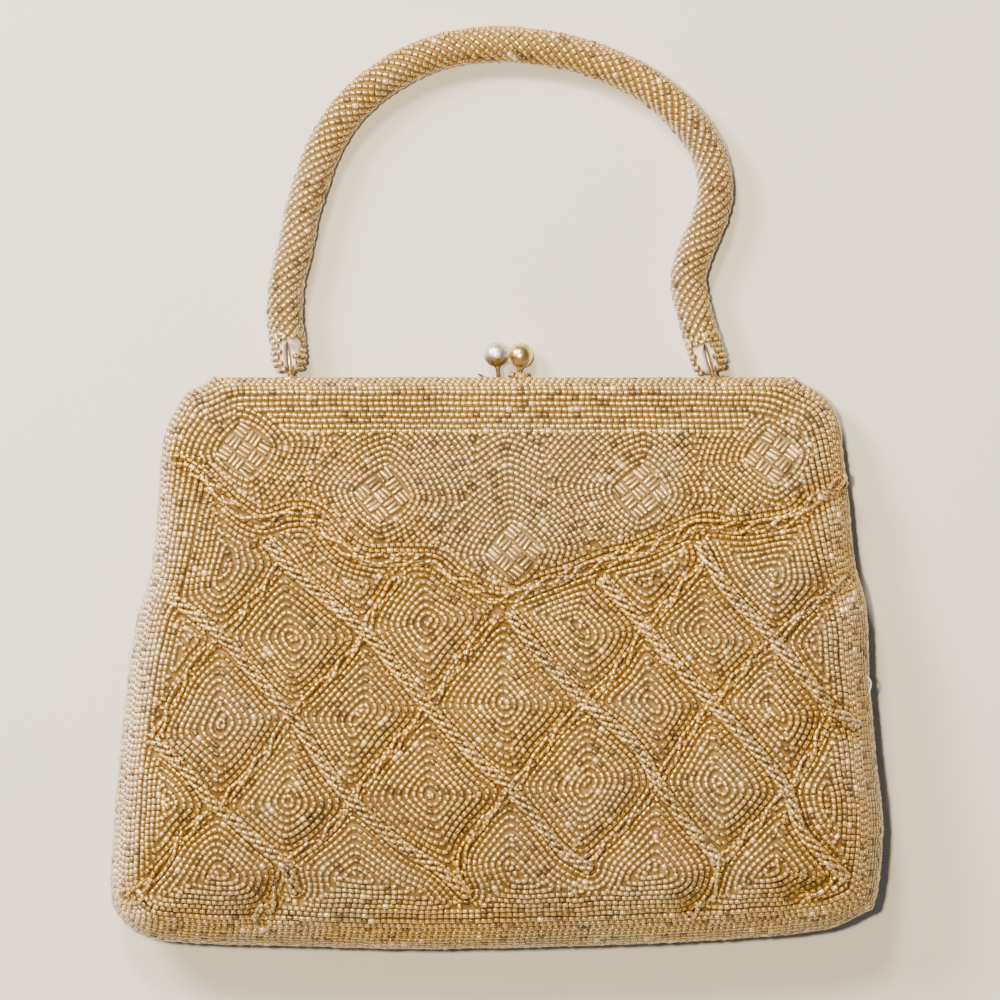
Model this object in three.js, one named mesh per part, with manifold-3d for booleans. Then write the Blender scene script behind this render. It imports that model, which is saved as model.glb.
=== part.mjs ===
// Beaded evening bag with a covered kiss-lock frame and a beaded rope handle, lying on its back.
// Millimetres. X runs across the bag, Y from its base to its mouth and on to the handle, Z from back to front.
// The origin is the middle of the flat back, where the bag rests.

import * as THREE from 'three';
import { mergeVertices } from 'three/addons/utils/BufferGeometryUtils.js';
import Module from 'manifold-3d';

const wasm = await Module();
wasm.setup();

// Body
const bodyHeight = 158.6;
const baseWidth = 214.6;
const mouthWidth = 163;
const mouthDepth = 12;
const fullDepth = 36;
const clothWall = 1.6;
const mouthSlit = 5.4;
const mouthRoll = 3.6;
const sideRollAtMouth = 7;
const sideRollAtBase = 24;

// Quilting on the front
const quiltDepth = 3.2;
const quiltGrooveWidth = 10;
const plainBand = 14;
const eyeRise = 0.9;
const eyeWidth = 26;
const quiltCordDiameter = 3.6;
const crossCordDiameter = 2.6;
const yokeCordDiameter = 3;

// Frame, hinges and clasp
const frameBarWidth = 6;
const frameBarThickness = 3.7;
const frameTopInset = 5;
const frameSideInset = 10;
const frameCornerRadius = 11;
const hingeDrop = 60;
const earThickness = 2;
const earRadius = 3.4;
const pinDiameter = 3;
const pinHeadDiameter = 5.2;
const pinHeadThickness = 1;
const ballDiameter = 7.1;
const claspMiddle = 3.3;
const ballSideOffset = 3.35;
const ballDepthOffset = 1.6;
const ballCentreAboveMouth = 7;
const stemDiameter = 1.3;
const stemSpacing = 2.2;

// Handle
const handleDiameter = 10.4;
const handleRise = 94.4;
const handleSpan = 121;
const handleTipLength = 11;
const handleTipEndDiameter = 4.4;
const postDiameter = 1.8;
const postReach = 9.6;
const tipSlotRun = 7.4;

// Fits
const gap = 0.3;
const cordLift = 0.45;

const halfBody = bodyHeight / 2;
const topY = halfBody;
const mouthMiddle = mouthDepth / 2;

// Side outline. down: share of the body height below the mouth. left, right: how far each side has
// spread from half the mouth width (0) to half the base width (1).
const sideOutline = [
  { down: 0.0, left: -0.08, right: 0.08 },
  { down: 0.011, left: 0.0, right: 0.16 },
  { down: 0.028, left: 0.2, right: 0.35 },
  { down: 0.055, left: 0.31, right: 0.49 },
  { down: 0.09, left: 0.41, right: 0.56 },
  { down: 0.143, left: 0.47, right: 0.59 },
  { down: 0.213, left: 0.49, right: 0.64 },
  { down: 0.319, left: 0.55, right: 0.7 },
  { down: 0.372, left: 0.62, right: 0.79 },
  { down: 0.425, left: 0.72, right: 0.84 },
  { down: 0.531, left: 0.82, right: 0.86 },
  { down: 0.672, left: 0.91, right: 0.93 },
  { down: 0.778, left: 0.96, right: 1.0 },
  { down: 0.884, left: 1.0, right: 0.96 },
  { down: 0.93, left: 0.97, right: 0.9 },
];

// Base outline, from the left corner to the right one. across: share of half the base width.
// up: share of the body height above the lowest point.
const baseOutline = [
  { across: -0.968, up: 0.039 },
  { across: -0.93, up: 0.026 },
  { across: -0.8, up: 0.011 },
  { across: -0.46, up: 0.004 },
  { across: -0.22, up: 0.0 },
  { across: 0.01, up: 0.002 },
  { across: 0.38, up: 0.009 },
  { across: 0.64, up: 0.019 },
  { across: 0.79, up: 0.028 },
  { across: 0.88, up: 0.039 },
  { across: 0.94, up: 0.055 },
];

// Side profile. depth: share of the way from the mouth's depth to the full depth.
// seam: height of the side seam as a share of the depth there.
const sideProfile = [
  { down: 0.0, depth: 0.0, seam: 0.5 },
  { down: 0.08, depth: 0.08, seam: 0.48 },
  { down: 0.16, depth: 0.24, seam: 0.44 },
  { down: 0.28, depth: 0.47, seam: 0.4 },
  { down: 0.4, depth: 0.67, seam: 0.38 },
  { down: 0.55, depth: 0.87, seam: 0.37 },
  { down: 0.72, depth: 1.0, seam: 0.38 },
  { down: 0.86, depth: 0.97, seam: 0.4 },
  { down: 1.0, depth: 0.84, seam: 0.44 },
];

// Places on the front are picked off the front view in view units, and these four give its edges.
const viewLeft = 113;
const viewRight = 880;
const viewTop = 379;
const viewBase = 946;

// Thick quilt cords, from upper left to lower right. Each is one route down the front.
const quiltCordRoutes = [
  [[162, 742], [190, 768], [213, 797], [240, 820], [270, 846], [288, 862], [297, 884]],
  [[178, 600], [222, 635], [270, 690], [292, 712], [330, 770], [353, 797], [400, 840], [440, 865], [466, 888]],
  [[270, 545], [300, 577], [366, 633], [400, 672], [429, 706], [480, 760], [512, 787], [560, 845], [588, 864]],
  [[510, 616], [545, 660], [585, 701], [635, 745], [656, 780], [685, 820], [718, 858]],
  [[602, 582], [644, 627], [670, 660], [710, 702], [755, 750], [785, 790], [800, 830], [838, 872]],
  [[700, 546], [725, 590], [773, 641], [800, 675], [826, 706], [848, 724]],
];

// Thinner cross cords, from upper right to lower left, one run for each cell side that they border.
const crossCordRoutes = [
  [[284, 562], [255, 600], [222, 637]],
  [[222, 637], [190, 675], [160, 735]],
  [[397, 580], [375, 610], [366, 633]],
  [[366, 633], [335, 672], [292, 712]],
  [[292, 712], [270, 748], [222, 803]],
  [[222, 803], [190, 830], [160, 872], [137, 892]],
  [[498, 617], [470, 650], [429, 706]],
  [[429, 706], [395, 745], [353, 797]],
  [[353, 797], [325, 833], [287, 858]],
  [[287, 858], [275, 895], [258, 915]],
  [[644, 627], [620, 665], [585, 701]],
  [[585, 701], [550, 738], [512, 787]],
  [[512, 787], [465, 845], [466, 888]],
  [[705, 560], [675, 595], [644, 627]],
  [[773, 641], [745, 665], [710, 702]],
  [[710, 702], [685, 735], [656, 780]],
  [[656, 780], [625, 820], [588, 855]],
  [[842, 582], [815, 600], [773, 641]],
  [[826, 706], [812, 742], [785, 790]],
  [[785, 790], [755, 820], [718, 858]],
  [[718, 858], [710, 888], [692, 907]],
  [[838, 872], [822, 885], [800, 894]],
];

// Scalloped cord that borders the yoke, from the left side to the right one.
const yokeCordRoute = [
  [176, 458], [205, 478], [235, 508], [262, 523], [290, 515], [316, 518], [340, 545], [370, 560], [430, 561],
  [460, 580], [500, 599], [545, 584], [600, 564], [660, 545], [700, 526], [740, 529], [790, 520], [820, 495],
  [842, 481],
];

// Raised eyes of long beads in the yoke
const yokeEyes = [[245, 450], [383, 495], [514, 552], [640, 492], [772, 456]];

// Handle route over the arch, between its two tips. across: share of half the span.
// up: share of the rise above the mouth.
const handleRoute = [
  { across: -0.98, up: 0.265 },
  { across: -0.963, up: 0.325 },
  { across: -0.93, up: 0.412 },
  { across: -0.903, up: 0.5 },
  { across: -0.86, up: 0.59 },
  { across: -0.81, up: 0.68 },
  { across: -0.73, up: 0.77 },
  { across: -0.625, up: 0.845 },
  { across: -0.49, up: 0.91 },
  { across: -0.325, up: 0.964 },
  { across: -0.16, up: 0.991 },
  { across: 0.02, up: 1.0 },
  { across: 0.21, up: 0.988 },
  { across: 0.39, up: 0.964 },
  { across: 0.58, up: 0.917 },
  { across: 0.74, up: 0.858 },
  { across: 0.88, up: 0.774 },
  { across: 0.98, up: 0.68 },
  { across: 1.015, up: 0.59 },
  { across: 1.005, up: 0.516 },
  { across: 0.965, up: 0.442 },
  { across: 0.915, up: 0.368 },
  { across: 0.89, up: 0.305 },
  { across: 0.9, up: 0.25 },
];

// Places where a wire post carries each end of the handle. across: share of half the handle's span.
// lean: degrees that the post leans to the left.
const handleEnds = [
  { side: 'left', across: -0.945, lean: 6 },
  { side: 'right', across: 1.035, lean: 17 },
];

// Finishes
const beadGold = new THREE.MeshStandardMaterial({ color: 0xc39d62, roughness: 0.35, metalness: 0.3 });
const beadAmber = new THREE.MeshStandardMaterial({ color: 0xb98a45, roughness: 0.35, metalness: 0.3 });
const beadPale = new THREE.MeshStandardMaterial({ color: 0xe2d2ae, roughness: 0.3, metalness: 0.3 });
const satin = new THREE.MeshStandardMaterial({ color: 0xe6dccb, roughness: 0.6, metalness: 0 });
const silver = new THREE.MeshStandardMaterial({ color: 0xc9c6c0, roughness: 0.35, metalness: 1 });
const brass = new THREE.MeshStandardMaterial({ color: 0xb08d45, roughness: 0.3, metalness: 1 });

const bag = new THREE.Group();

function addPiece(parent, name, geometry, material) {
  const mesh = new THREE.Mesh(geometry, material);
  mesh.name = name;
  parent.add(mesh);
  return mesh;
}

// Straight interpolation between the rows of a table
function readTable(table, key, column, at) {
  const last = table.length - 1;
  if (at <= table[0][key]) return table[0][column];
  for (let row = 0; row < last; row++) {
    const low = table[row];
    const high = table[row + 1];
    if (at <= high[key]) {
      return THREE.MathUtils.mapLinear(at, low[key], high[key], low[column], high[column]);
    }
  }
  return table[last][column];
}

function heightAt(down) {
  return topY - down * bodyHeight;
}

function sideReach(side, down) {
  const spread = readTable(sideOutline, 'down', side, down);
  return THREE.MathUtils.lerp(mouthWidth / 2, baseWidth / 2, spread);
}

// A point of the front view as a place on the body
function fromView([viewX, viewY]) {
  const across = (2 * viewX - viewLeft - viewRight) / (viewRight - viewLeft);
  const down = (viewY - viewTop) / (viewBase - viewTop);
  return new THREE.Vector2((across * baseWidth) / 2, heightAt(down));
}

// The four edges of the body in plan
const leftPoints = sideOutline.map((row) => new THREE.Vector2(-sideReach('left', row.down), heightAt(row.down)));
const rightPoints = sideOutline.map((row) => new THREE.Vector2(sideReach('right', row.down), heightAt(row.down)));
const basePoints = baseOutline.map((row) => (
  new THREE.Vector2((row.across * baseWidth) / 2, -halfBody + row.up * bodyHeight)));
basePoints[0] = leftPoints[leftPoints.length - 1].clone();
basePoints[basePoints.length - 1] = rightPoints[rightPoints.length - 1].clone();
const leftEdge = new THREE.SplineCurve(leftPoints);
const rightEdge = new THREE.SplineCurve(rightPoints);
const baseEdge = new THREE.SplineCurve(basePoints);
const mouthEdge = new THREE.LineCurve(leftPoints[0].clone(), rightPoints[0].clone());

const outlineRun = [
  ...leftEdge.getSpacedPoints(60),
  ...baseEdge.getSpacedPoints(60),
  ...rightEdge.getSpacedPoints(60).reverse(),
];

function distanceToRun(point, run) {
  let nearest = Infinity;
  for (let i = 1; i < run.length; i++) {
    const start = run[i - 1];
    const span = new THREE.Vector2().subVectors(run[i], start);
    const lengthSquared = Math.max(span.lengthSq(), 1e-9);
    const along = THREE.MathUtils.clamp(
      new THREE.Vector2().subVectors(point, start).dot(span) / lengthSquared, 0, 1);
    nearest = Math.min(nearest, point.distanceTo(start.clone().addScaledVector(span, along)));
  }
  return nearest;
}

// Smooth plan routes of the cords
function planRoute(route, count) {
  return new THREE.SplineCurve(route.map(fromView)).getSpacedPoints(count);
}

const quiltCordRuns = quiltCordRoutes.map((route) => planRoute(route, 40));
const crossCordRuns = crossCordRoutes.map((route) => planRoute(route, 24));
const yokeCordRun = planRoute(yokeCordRoute, 120);
const grooveRuns = [...quiltCordRuns, ...crossCordRuns, yokeCordRun];
const eyePlaces = yokeEyes.map(fromView);

// Rounding of the cloth where it turns over an edge, from 0 at the edge to 1 on the face
function rollOver(distance, radius) {
  const left = 1 - Math.min(distance / radius, 1);
  return Math.sqrt(1 - left * left);
}

// Height of the seam, the edge of the mouth and the front and back faces above the floor
function shellHeight(face, point) {
  const down = (topY - point.y) / bodyHeight;
  const fullness = readTable(sideProfile, 'down', 'depth', down);
  const depth = THREE.MathUtils.lerp(mouthDepth, fullDepth, fullness);
  const seam = depth * readTable(sideProfile, 'down', 'seam', down);
  const fromMouth = Math.max(topY - point.y, 0);
  const fromEdge = distanceToRun(point, outlineRun);
  const sideRoll = THREE.MathUtils.lerp(sideRollAtMouth, sideRollAtBase, fullness);
  const crown = rollOver(fromEdge, sideRoll) * rollOver(fromMouth, mouthRoll);
  const acrossMouth = Math.min(Math.abs(point.x) / (mouthWidth / 2), 1);
  const slitShare = (1 - acrossMouth ** 24) * (1 - Math.min(fromMouth / mouthRoll, 1));
  const parting = THREE.MathUtils.lerp(gap / 2, mouthSlit / 2, slitShare);
  if (face === 'back') return (seam - parting) * (1 - crown);
  return seam + parting + (depth - seam - parting) * crown;
}

// Share of the quilting's depth that is reached at a place: none at the edges and over the frame
function quiltShare(point) {
  const fromEdge = distanceToRun(point, outlineRun);
  const fromBand = Math.max(topY - point.y - plainBand, 0);
  return Math.min(fromEdge / (sideRollAtBase / 2), fromBand / (sideRollAtBase / 2), 1);
}

function bellCurve(distance, width) {
  return Math.exp(-((2 * distance / width) ** 2));
}

// Relief of the front: grooves under the cords and low eyes in the yoke
function quiltRelief(point) {
  const fromCord = Math.min(...grooveRuns.map((run) => distanceToRun(point, run)));
  let eyes = 0;
  for (const place of eyePlaces) {
    eyes += bellCurve(point.distanceTo(place), eyeWidth);
  }
  return quiltShare(point) * (eyeRise * eyes - quiltDepth * bellCurve(fromCord, quiltGrooveWidth));
}

// The padding fills the puffs, so the lining runs level with the bottoms of the grooves
function liningRelief(point) {
  return -quiltDepth * quiltShare(point);
}

// Plan place of a grid point: the patch spanned by the four edges of the body
function planPlace(across, down) {
  const left = leftEdge.getPointAt(down);
  const right = rightEdge.getPointAt(down);
  const mouth = mouthEdge.getPointAt(across);
  const base = baseEdge.getPointAt(across);
  const sides = left.clone().lerp(right, across);
  const ends = mouth.clone().lerp(base, down);
  const mouthCorners = mouthEdge.getPointAt(0).lerp(mouthEdge.getPointAt(1), across);
  const baseCorners = baseEdge.getPointAt(0).lerp(baseEdge.getPointAt(1), across);
  return sides.add(ends).sub(mouthCorners.lerp(baseCorners, down));
}

// Places of the grid's columns and rows. Columns crowd towards both sides. Two rows turn over the
// mouth's edge, and the others crowd towards the base.
function columnPlace(share) {
  const centred = 2 * share - 1;
  const spread = 1 - (1 - Math.abs(centred)) ** 1.5;
  return (1 + Math.sign(centred) * spread) / 2;
}

function rowPlace(row, rows) {
  const rolled = mouthRoll / bodyHeight;
  if (row < 2) return rolled * 0.25 * row;
  return rolled + (1 - rolled) * (1 - (1 - (row - 2) / (rows - 2)) ** 1.4);
}

// Grid of points over one face of the body
function faceGrid(face, columns, rows, relief) {
  const grid = [];
  for (let row = 0; row <= rows; row++) {
    const line = [];
    for (let column = 0; column <= columns; column++) {
      const place = planPlace(columnPlace(column / columns), rowPlace(row, rows));
      const height = shellHeight(face, place) + relief(place);
      line.push(new THREE.Vector3(place.x, place.y, height));
    }
    grid.push(line);
  }
  return grid;
}

// The same grid moved into the body by the thickness of the cloth. Its edge moves level, so the
// rims of the two faces stay flat against each other.
function liningGrid(face, grid, thickness) {
  const rows = grid.length - 1;
  const columns = grid[0].length - 1;
  const facing = face === 'front' ? 1 : -1;
  return grid.map((line, row) => line.map((point, column) => {
    const up = grid[Math.max(row - 1, 0)][column];
    const below = grid[Math.min(row + 1, rows)][column];
    const left = grid[row][Math.max(column - 1, 0)];
    const right = grid[row][Math.min(column + 1, columns)];
    const normal = new THREE.Vector3().crossVectors(right.clone().sub(left), up.clone().sub(below));
    normal.multiplyScalar(facing);
    const onRim = row === 0 || row === rows || column === 0 || column === columns;
    if (onRim) {
      const alongRow = right.clone().sub(left).setZ(0).normalize();
      const alongColumn = up.clone().sub(below).setZ(0).normalize();
      normal.set(0, 0, 0);
      if (row === 0) normal.add(new THREE.Vector3(-alongRow.y, alongRow.x, 0));
      if (row === rows) normal.add(new THREE.Vector3(alongRow.y, -alongRow.x, 0));
      if (column === 0) normal.add(new THREE.Vector3(-alongColumn.y, alongColumn.x, 0));
      if (column === columns) normal.add(new THREE.Vector3(alongColumn.y, -alongColumn.x, 0));
    }
    return point.clone().addScaledVector(normal.normalize(), -thickness);
  }));
}

// Every second line of a grid
function halfGrid(grid) {
  return grid.filter((line, row) => row % 2 === 0).map((line) => line.filter((point, column) => column % 2 === 0));
}

function edgeLoop(grid) {
  const rows = grid.length - 1;
  const columns = grid[0].length - 1;
  const loop = [];
  for (let column = 0; column < columns; column++) loop.push(grid[0][column]);
  for (let row = 0; row < rows; row++) loop.push(grid[row][columns]);
  for (let column = columns; column > 0; column--) loop.push(grid[rows][column]);
  for (let row = rows; row > 0; row--) loop.push(grid[row][0]);
  return loop;
}

function geometryFromTriangles(triangles) {
  const geometry = new THREE.BufferGeometry();
  const positions = new Float32Array(triangles.length * 9);
  triangles.forEach((corners, index) => {
    corners.forEach((corner, turn) => corner.toArray(positions, index * 9 + turn * 3));
  });
  geometry.setAttribute('position', new THREE.BufferAttribute(positions, 3));
  geometry.computeVertexNormals();
  return geometry;
}

function gridTriangles(grid, flipped) {
  const triangles = [];
  for (let row = 1; row < grid.length; row++) {
    for (let column = 1; column < grid[0].length; column++) {
      const upLeft = grid[row - 1][column - 1];
      const upRight = grid[row - 1][column];
      const lowLeft = grid[row][column - 1];
      const lowRight = grid[row][column];
      const cutDown = upLeft.distanceTo(lowRight) < upRight.distanceTo(lowLeft);
      const pair = cutDown
        ? [[upLeft, lowLeft, lowRight], [upLeft, lowRight, upRight]]
        : [[upLeft, lowLeft, upRight], [upRight, lowLeft, lowRight]];
      triangles.push(...pair.map(([a, b, c]) => (flipped ? [a, c, b] : [a, b, c])));
    }
  }
  return triangles;
}

// Closed shell between an outer grid and a lining of half as many lines
function clothShell(face, outer, lining) {
  const facingBack = face === 'back';
  const triangles = [...gridTriangles(outer, facingBack), ...gridTriangles(lining, !facingBack)];
  const outerLoop = edgeLoop(outer);
  const innerLoop = edgeLoop(lining);
  const rim = [];
  for (let i = 0; i < innerLoop.length; i++) {
    const innerStart = innerLoop[i];
    const innerEnd = innerLoop[(i + 1) % innerLoop.length];
    const outerStart = outerLoop[2 * i];
    const outerMiddle = outerLoop[2 * i + 1];
    const outerEnd = outerLoop[(2 * i + 2) % outerLoop.length];
    rim.push([outerStart, outerMiddle, innerStart]);
    rim.push([outerMiddle, innerEnd, innerStart]);
    rim.push([outerMiddle, outerEnd, innerEnd]);
  }
  triangles.push(...rim.map(([a, b, c]) => (facingBack ? [a, c, b] : [a, b, c])));
  return triangles;
}

// Front and back of the body
const frontColumns = 46;
const frontRows = 36;
const backColumns = 22;
const backRows = 18;
const frontOuter = faceGrid('front', frontColumns, frontRows, quiltRelief);
const paddingGrid = faceGrid('front', frontColumns, frontRows, liningRelief);
const frontLining = halfGrid(liningGrid('front', paddingGrid, clothWall));
const frontTriangles = clothShell('front', frontOuter, frontLining);
addPiece(bag, 'front_panel', geometryFromTriangles(frontTriangles), beadGold);

const backOuter = faceGrid('back', backColumns, backRows, () => 0);
const backLining = halfGrid(liningGrid('back', backOuter, clothWall));
addPiece(bag, 'back_panel', geometryFromTriangles(clothShell('back', backOuter, backLining)), beadGold);

// Lays a cord on the faceted front: each point of its middle line moves out of the face until the
// cord's surface is clear of every facet near it
const outerFacets = frontTriangles
  .slice(0, gridTriangles(frontOuter, false).length)
  .map(([a, b, c]) => new THREE.Triangle(a, b, c));
const facetReach = 16;
const seatingPasses = 10;

function facetsNear(place) {
  return outerFacets.filter((facet) => Math.hypot(facet.a.x - place.x, facet.a.y - place.y) < facetReach);
}

function clearanceTo(facets, point) {
  const nearest = new THREE.Vector3();
  let clearance = Infinity;
  for (const facet of facets) {
    facet.closestPointToPoint(point, nearest);
    clearance = Math.min(clearance, nearest.distanceTo(point));
  }
  return clearance;
}

function frontNormal(place) {
  const step = 1.5;
  const height = (x, y) => shellHeight('front', new THREE.Vector2(x, y));
  const slopeX = (height(place.x + step, place.y) - height(place.x - step, place.y)) / (2 * step);
  const slopeY = (height(place.x, place.y + step) - height(place.x, place.y - step)) / (2 * step);
  return new THREE.Vector3(-slopeX, -slopeY, 1).normalize();
}

function seatCord(run, diameter) {
  const wanted = diameter / 2 + cordLift;
  const points = run.map((place) => {
    const surface = shellHeight('front', place) + quiltRelief(place);
    const normal = frontNormal(place);
    const point = new THREE.Vector3(place.x, place.y, surface).addScaledVector(normal, wanted);
    return { point, normal, facets: facetsNear(place) };
  });
  for (let pass = 0; pass < seatingPasses; pass++) {
    for (let i = 0; i < points.length; i++) {
      const here = points[i];
      const next = points[Math.min(i + 1, points.length - 1)];
      for (const share of [0, 0.25, 0.5, 0.75]) {
        const probe = here.point.clone().lerp(next.point, share);
        const shortfall = Math.max(wanted - clearanceTo(here.facets, probe), 0);
        here.point.addScaledVector(here.normal, shortfall * (1 - share));
        next.point.addScaledVector(next.normal, shortfall * share);
      }
    }
  }
  return points.map((entry) => entry.point);
}

// Even steps along a run of plan points
function evenRun(run, stepLength) {
  const curve = new THREE.SplineCurve(run);
  const steps = Math.max(Math.round(curve.getLength() / stepLength), 2);
  return curve.getSpacedPoints(steps);
}

// Tube with a many-sided section along a curve
function tubeAlong(points, diameter, sides) {
  const section = new THREE.Shape(new THREE.EllipseCurve(0, 0, diameter / 2, diameter / 2).getPoints(sides).slice(1));
  const curve = new THREE.CatmullRomCurve3(points);
  return new THREE.ExtrudeGeometry(section, { extrudePath: curve, steps: points.length - 1 });
}

// The longest stretch of a run that keeps clear of the cords that it ends against
function clearStretch(run, keepOff) {
  let best = [];
  let stretch = [];
  for (const place of run) {
    const clear = keepOff.every(({ run: other, distance }) => distanceToRun(place, other) > distance);
    stretch = clear ? [...stretch, place] : [];
    if (stretch.length > best.length) best = stretch;
  }
  return best;
}

// Quilt cords, cross cords and the yoke's border
const cordSides = 8;
const cordStep = 8.5;
const yokeCordStep = 6.8;
const yokeKeepOff = {
  run: yokeCordRun,
  distance: (yokeCordDiameter + quiltCordDiameter) / 2 + gap,
};
const quiltCordsKeepOff = quiltCordRuns.map((run) => ({
  run,
  distance: (quiltCordDiameter + crossCordDiameter) / 2 + gap,
}));

quiltCordRuns.forEach((run, index) => {
  const stretch = clearStretch(run, [yokeKeepOff]);
  const seated = seatCord(evenRun(stretch, cordStep), quiltCordDiameter);
  addPiece(bag, `quilt_cord_${index + 1}`, tubeAlong(seated, quiltCordDiameter, cordSides), beadPale);
});

crossCordRuns.forEach((run, index) => {
  const stretch = clearStretch(run, [yokeKeepOff, ...quiltCordsKeepOff]);
  const seated = seatCord(evenRun(stretch, cordStep), crossCordDiameter);
  addPiece(bag, `cross_cord_${index + 1}`, tubeAlong(seated, crossCordDiameter, cordSides), beadAmber);
});

const yokeSeated = seatCord(evenRun(yokeCordRun, yokeCordStep), yokeCordDiameter);
addPiece(bag, 'yoke_cord', tubeAlong(yokeSeated, yokeCordDiameter, cordSides), beadAmber);

// Booleans between closed meshes
function toSolid(geometry) {
  const bare = new THREE.BufferGeometry();
  bare.setAttribute('position', geometry.getAttribute('position'));
  if (geometry.index) bare.setIndex(geometry.index);
  const merged = mergeVertices(bare, 1e-4);
  const corners = merged.index.array;
  const kept = [];
  for (let i = 0; i < corners.length; i += 3) {
    const triangle = [corners[i], corners[i + 1], corners[i + 2]];
    if (new Set(triangle).size === 3) kept.push(...triangle);
  }
  return new wasm.Manifold(new wasm.Mesh({
    numProp: 3,
    vertProperties: new Float32Array(merged.getAttribute('position').array),
    triVerts: new Uint32Array(kept),
  }));
}

function fromSolid(solid) {
  const mesh = solid.getMesh();
  const geometry = new THREE.BufferGeometry();
  geometry.setAttribute('position', new THREE.BufferAttribute(mesh.vertProperties, 3));
  geometry.setIndex(new THREE.BufferAttribute(mesh.triVerts, 1));
  const loose = geometry.toNonIndexed();
  loose.computeVertexNormals();
  return loose;
}

// The frame lies in a plane of its own, which tilts so that the hinges meet the side seams.
// In that plane the origin is the middle of the mouth and Z is zero between the two halves.
const hingeDown = hingeDrop / bodyHeight;
const hingeDepth = THREE.MathUtils.lerp(mouthDepth, fullDepth, readTable(sideProfile, 'down', 'depth', hingeDown));
const hingeHeight = hingeDepth * readTable(sideProfile, 'down', 'seam', hingeDown);
const frameGroup = new THREE.Group();
frameGroup.position.set(0, topY, mouthMiddle);
frameGroup.rotation.x = -Math.atan2(hingeHeight - mouthMiddle, hingeDrop);
bag.add(frameGroup);

// Corners of the bars' middle line, from the left hinge over the mouth to the right hinge
const barInset = frameSideInset + frameBarWidth / 2;
const barTop = -frameTopInset - frameBarWidth / 2;
const cornerDown = (frameTopInset + frameBarWidth / 2) / bodyHeight;
const legEnd = -hingeDrop + earRadius + 2 * gap;
const barCorners = [
  new THREE.Vector2(-sideReach('left', hingeDown) + barInset, legEnd),
  new THREE.Vector2(-sideReach('left', cornerDown) + barInset, barTop),
  new THREE.Vector2(sideReach('right', cornerDown) - barInset, barTop),
  new THREE.Vector2(sideReach('right', hingeDown) - barInset, legEnd),
];

const hingePlaces = [[-1, barCorners[0].x], [1, barCorners[3].x]];

// The line moved sideways by a distance, with mitred corners
function offsetLine(corners, distance) {
  return corners.map((corner, index) => {
    const before = corner.clone().sub(corners[Math.max(index - 1, 0)]);
    const after = corners[Math.min(index + 1, corners.length - 1)].clone().sub(corner);
    if (index === 0) before.copy(after);
    if (index === corners.length - 1) after.copy(before);
    const start = before.normalize();
    const end = after.normalize();
    const across = new THREE.Vector2(-start.y - end.y, start.x + end.x).normalize();
    const reach = distance / across.dot(new THREE.Vector2(-start.y, start.x));
    return corner.clone().addScaledVector(across, reach);
  });
}

function traceRounded(shape, corners, radius) {
  for (let i = 1; i < corners.length - 1; i++) {
    const corner = corners[i];
    const arrive = corners[i - 1].clone().sub(corner).setLength(radius).add(corner);
    const leave = corners[i + 1].clone().sub(corner).setLength(radius).add(corner);
    shape.lineTo(arrive.x, arrive.y);
    shape.quadraticCurveTo(corner.x, corner.y, leave.x, leave.y);
  }
  const end = corners[corners.length - 1];
  shape.lineTo(end.x, end.y);
}

const outerLine = offsetLine(barCorners, frameBarWidth / 2);
const innerLine = offsetLine(barCorners, -frameBarWidth / 2).reverse();
const barShape = new THREE.Shape();
barShape.moveTo(outerLine[0].x, outerLine[0].y);
traceRounded(barShape, outerLine, frameCornerRadius);
barShape.lineTo(innerLine[0].x, innerLine[0].y);
traceRounded(barShape, innerLine, frameCornerRadius - frameBarWidth / 2);
barShape.closePath();

// Ear in the plane of the hinge: a disc with a pin hole, carried by an arm that runs up into the leg.
// It is drawn with its height above the frame's plane along X, and turned upright afterwards.
function earGeometry() {
  const armLow = gap / 2 + frameBarThickness * 0.1;
  const armHigh = gap / 2 + frameBarThickness * 0.9;
  const armTop = legEnd + hingeDrop + frameBarWidth / 2;
  const shape = new THREE.Shape();
  shape.absarc(0, 0, earRadius, Math.acos(armLow / earRadius), Math.PI * 2, false);
  shape.lineTo(armHigh, armTop);
  shape.lineTo(armLow, armTop);
  shape.closePath();
  const hole = new THREE.Path();
  hole.absarc(0, 0, pinDiameter / 2 + gap, 0, Math.PI * 2, true);
  shape.holes.push(hole);
  const ear = new THREE.ExtrudeGeometry(shape, { depth: earThickness, bevelEnabled: false, curveSegments: 7 });
  ear.translate(0, 0, -earThickness / 2);
  ear.rotateY(-Math.PI / 2);
  return ear;
}

// One half of the frame. The front half's ears stand outside the back half's.
function frameHalf(facing) {
  const bar = new THREE.ExtrudeGeometry(barShape, {
    depth: frameBarThickness, bevelEnabled: false, curveSegments: 5,
  });
  bar.translate(0, 0, facing > 0 ? gap / 2 : -gap / 2 - frameBarThickness);
  let half = toSolid(bar);
  for (const [outward, hingeX] of hingePlaces) {
    const ear = earGeometry();
    if (facing < 0) ear.rotateY(Math.PI);
    ear.translate(hingeX + (outward * facing * (earThickness + gap)) / 2, -hingeDrop, 0);
    half = half.add(toSolid(ear));
  }
  return fromSolid(half);
}

addPiece(frameGroup, 'frame_front', frameHalf(1), silver);
addPiece(frameGroup, 'frame_back', frameHalf(-1), silver);

// A round piece about its own Y axis. Each row of the profile gives a radius and a place on the axis.
function turned(profile, sides) {
  return new THREE.LatheGeometry(profile.map(([radius, along]) => new THREE.Vector2(radius, along)), sides);
}

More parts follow.
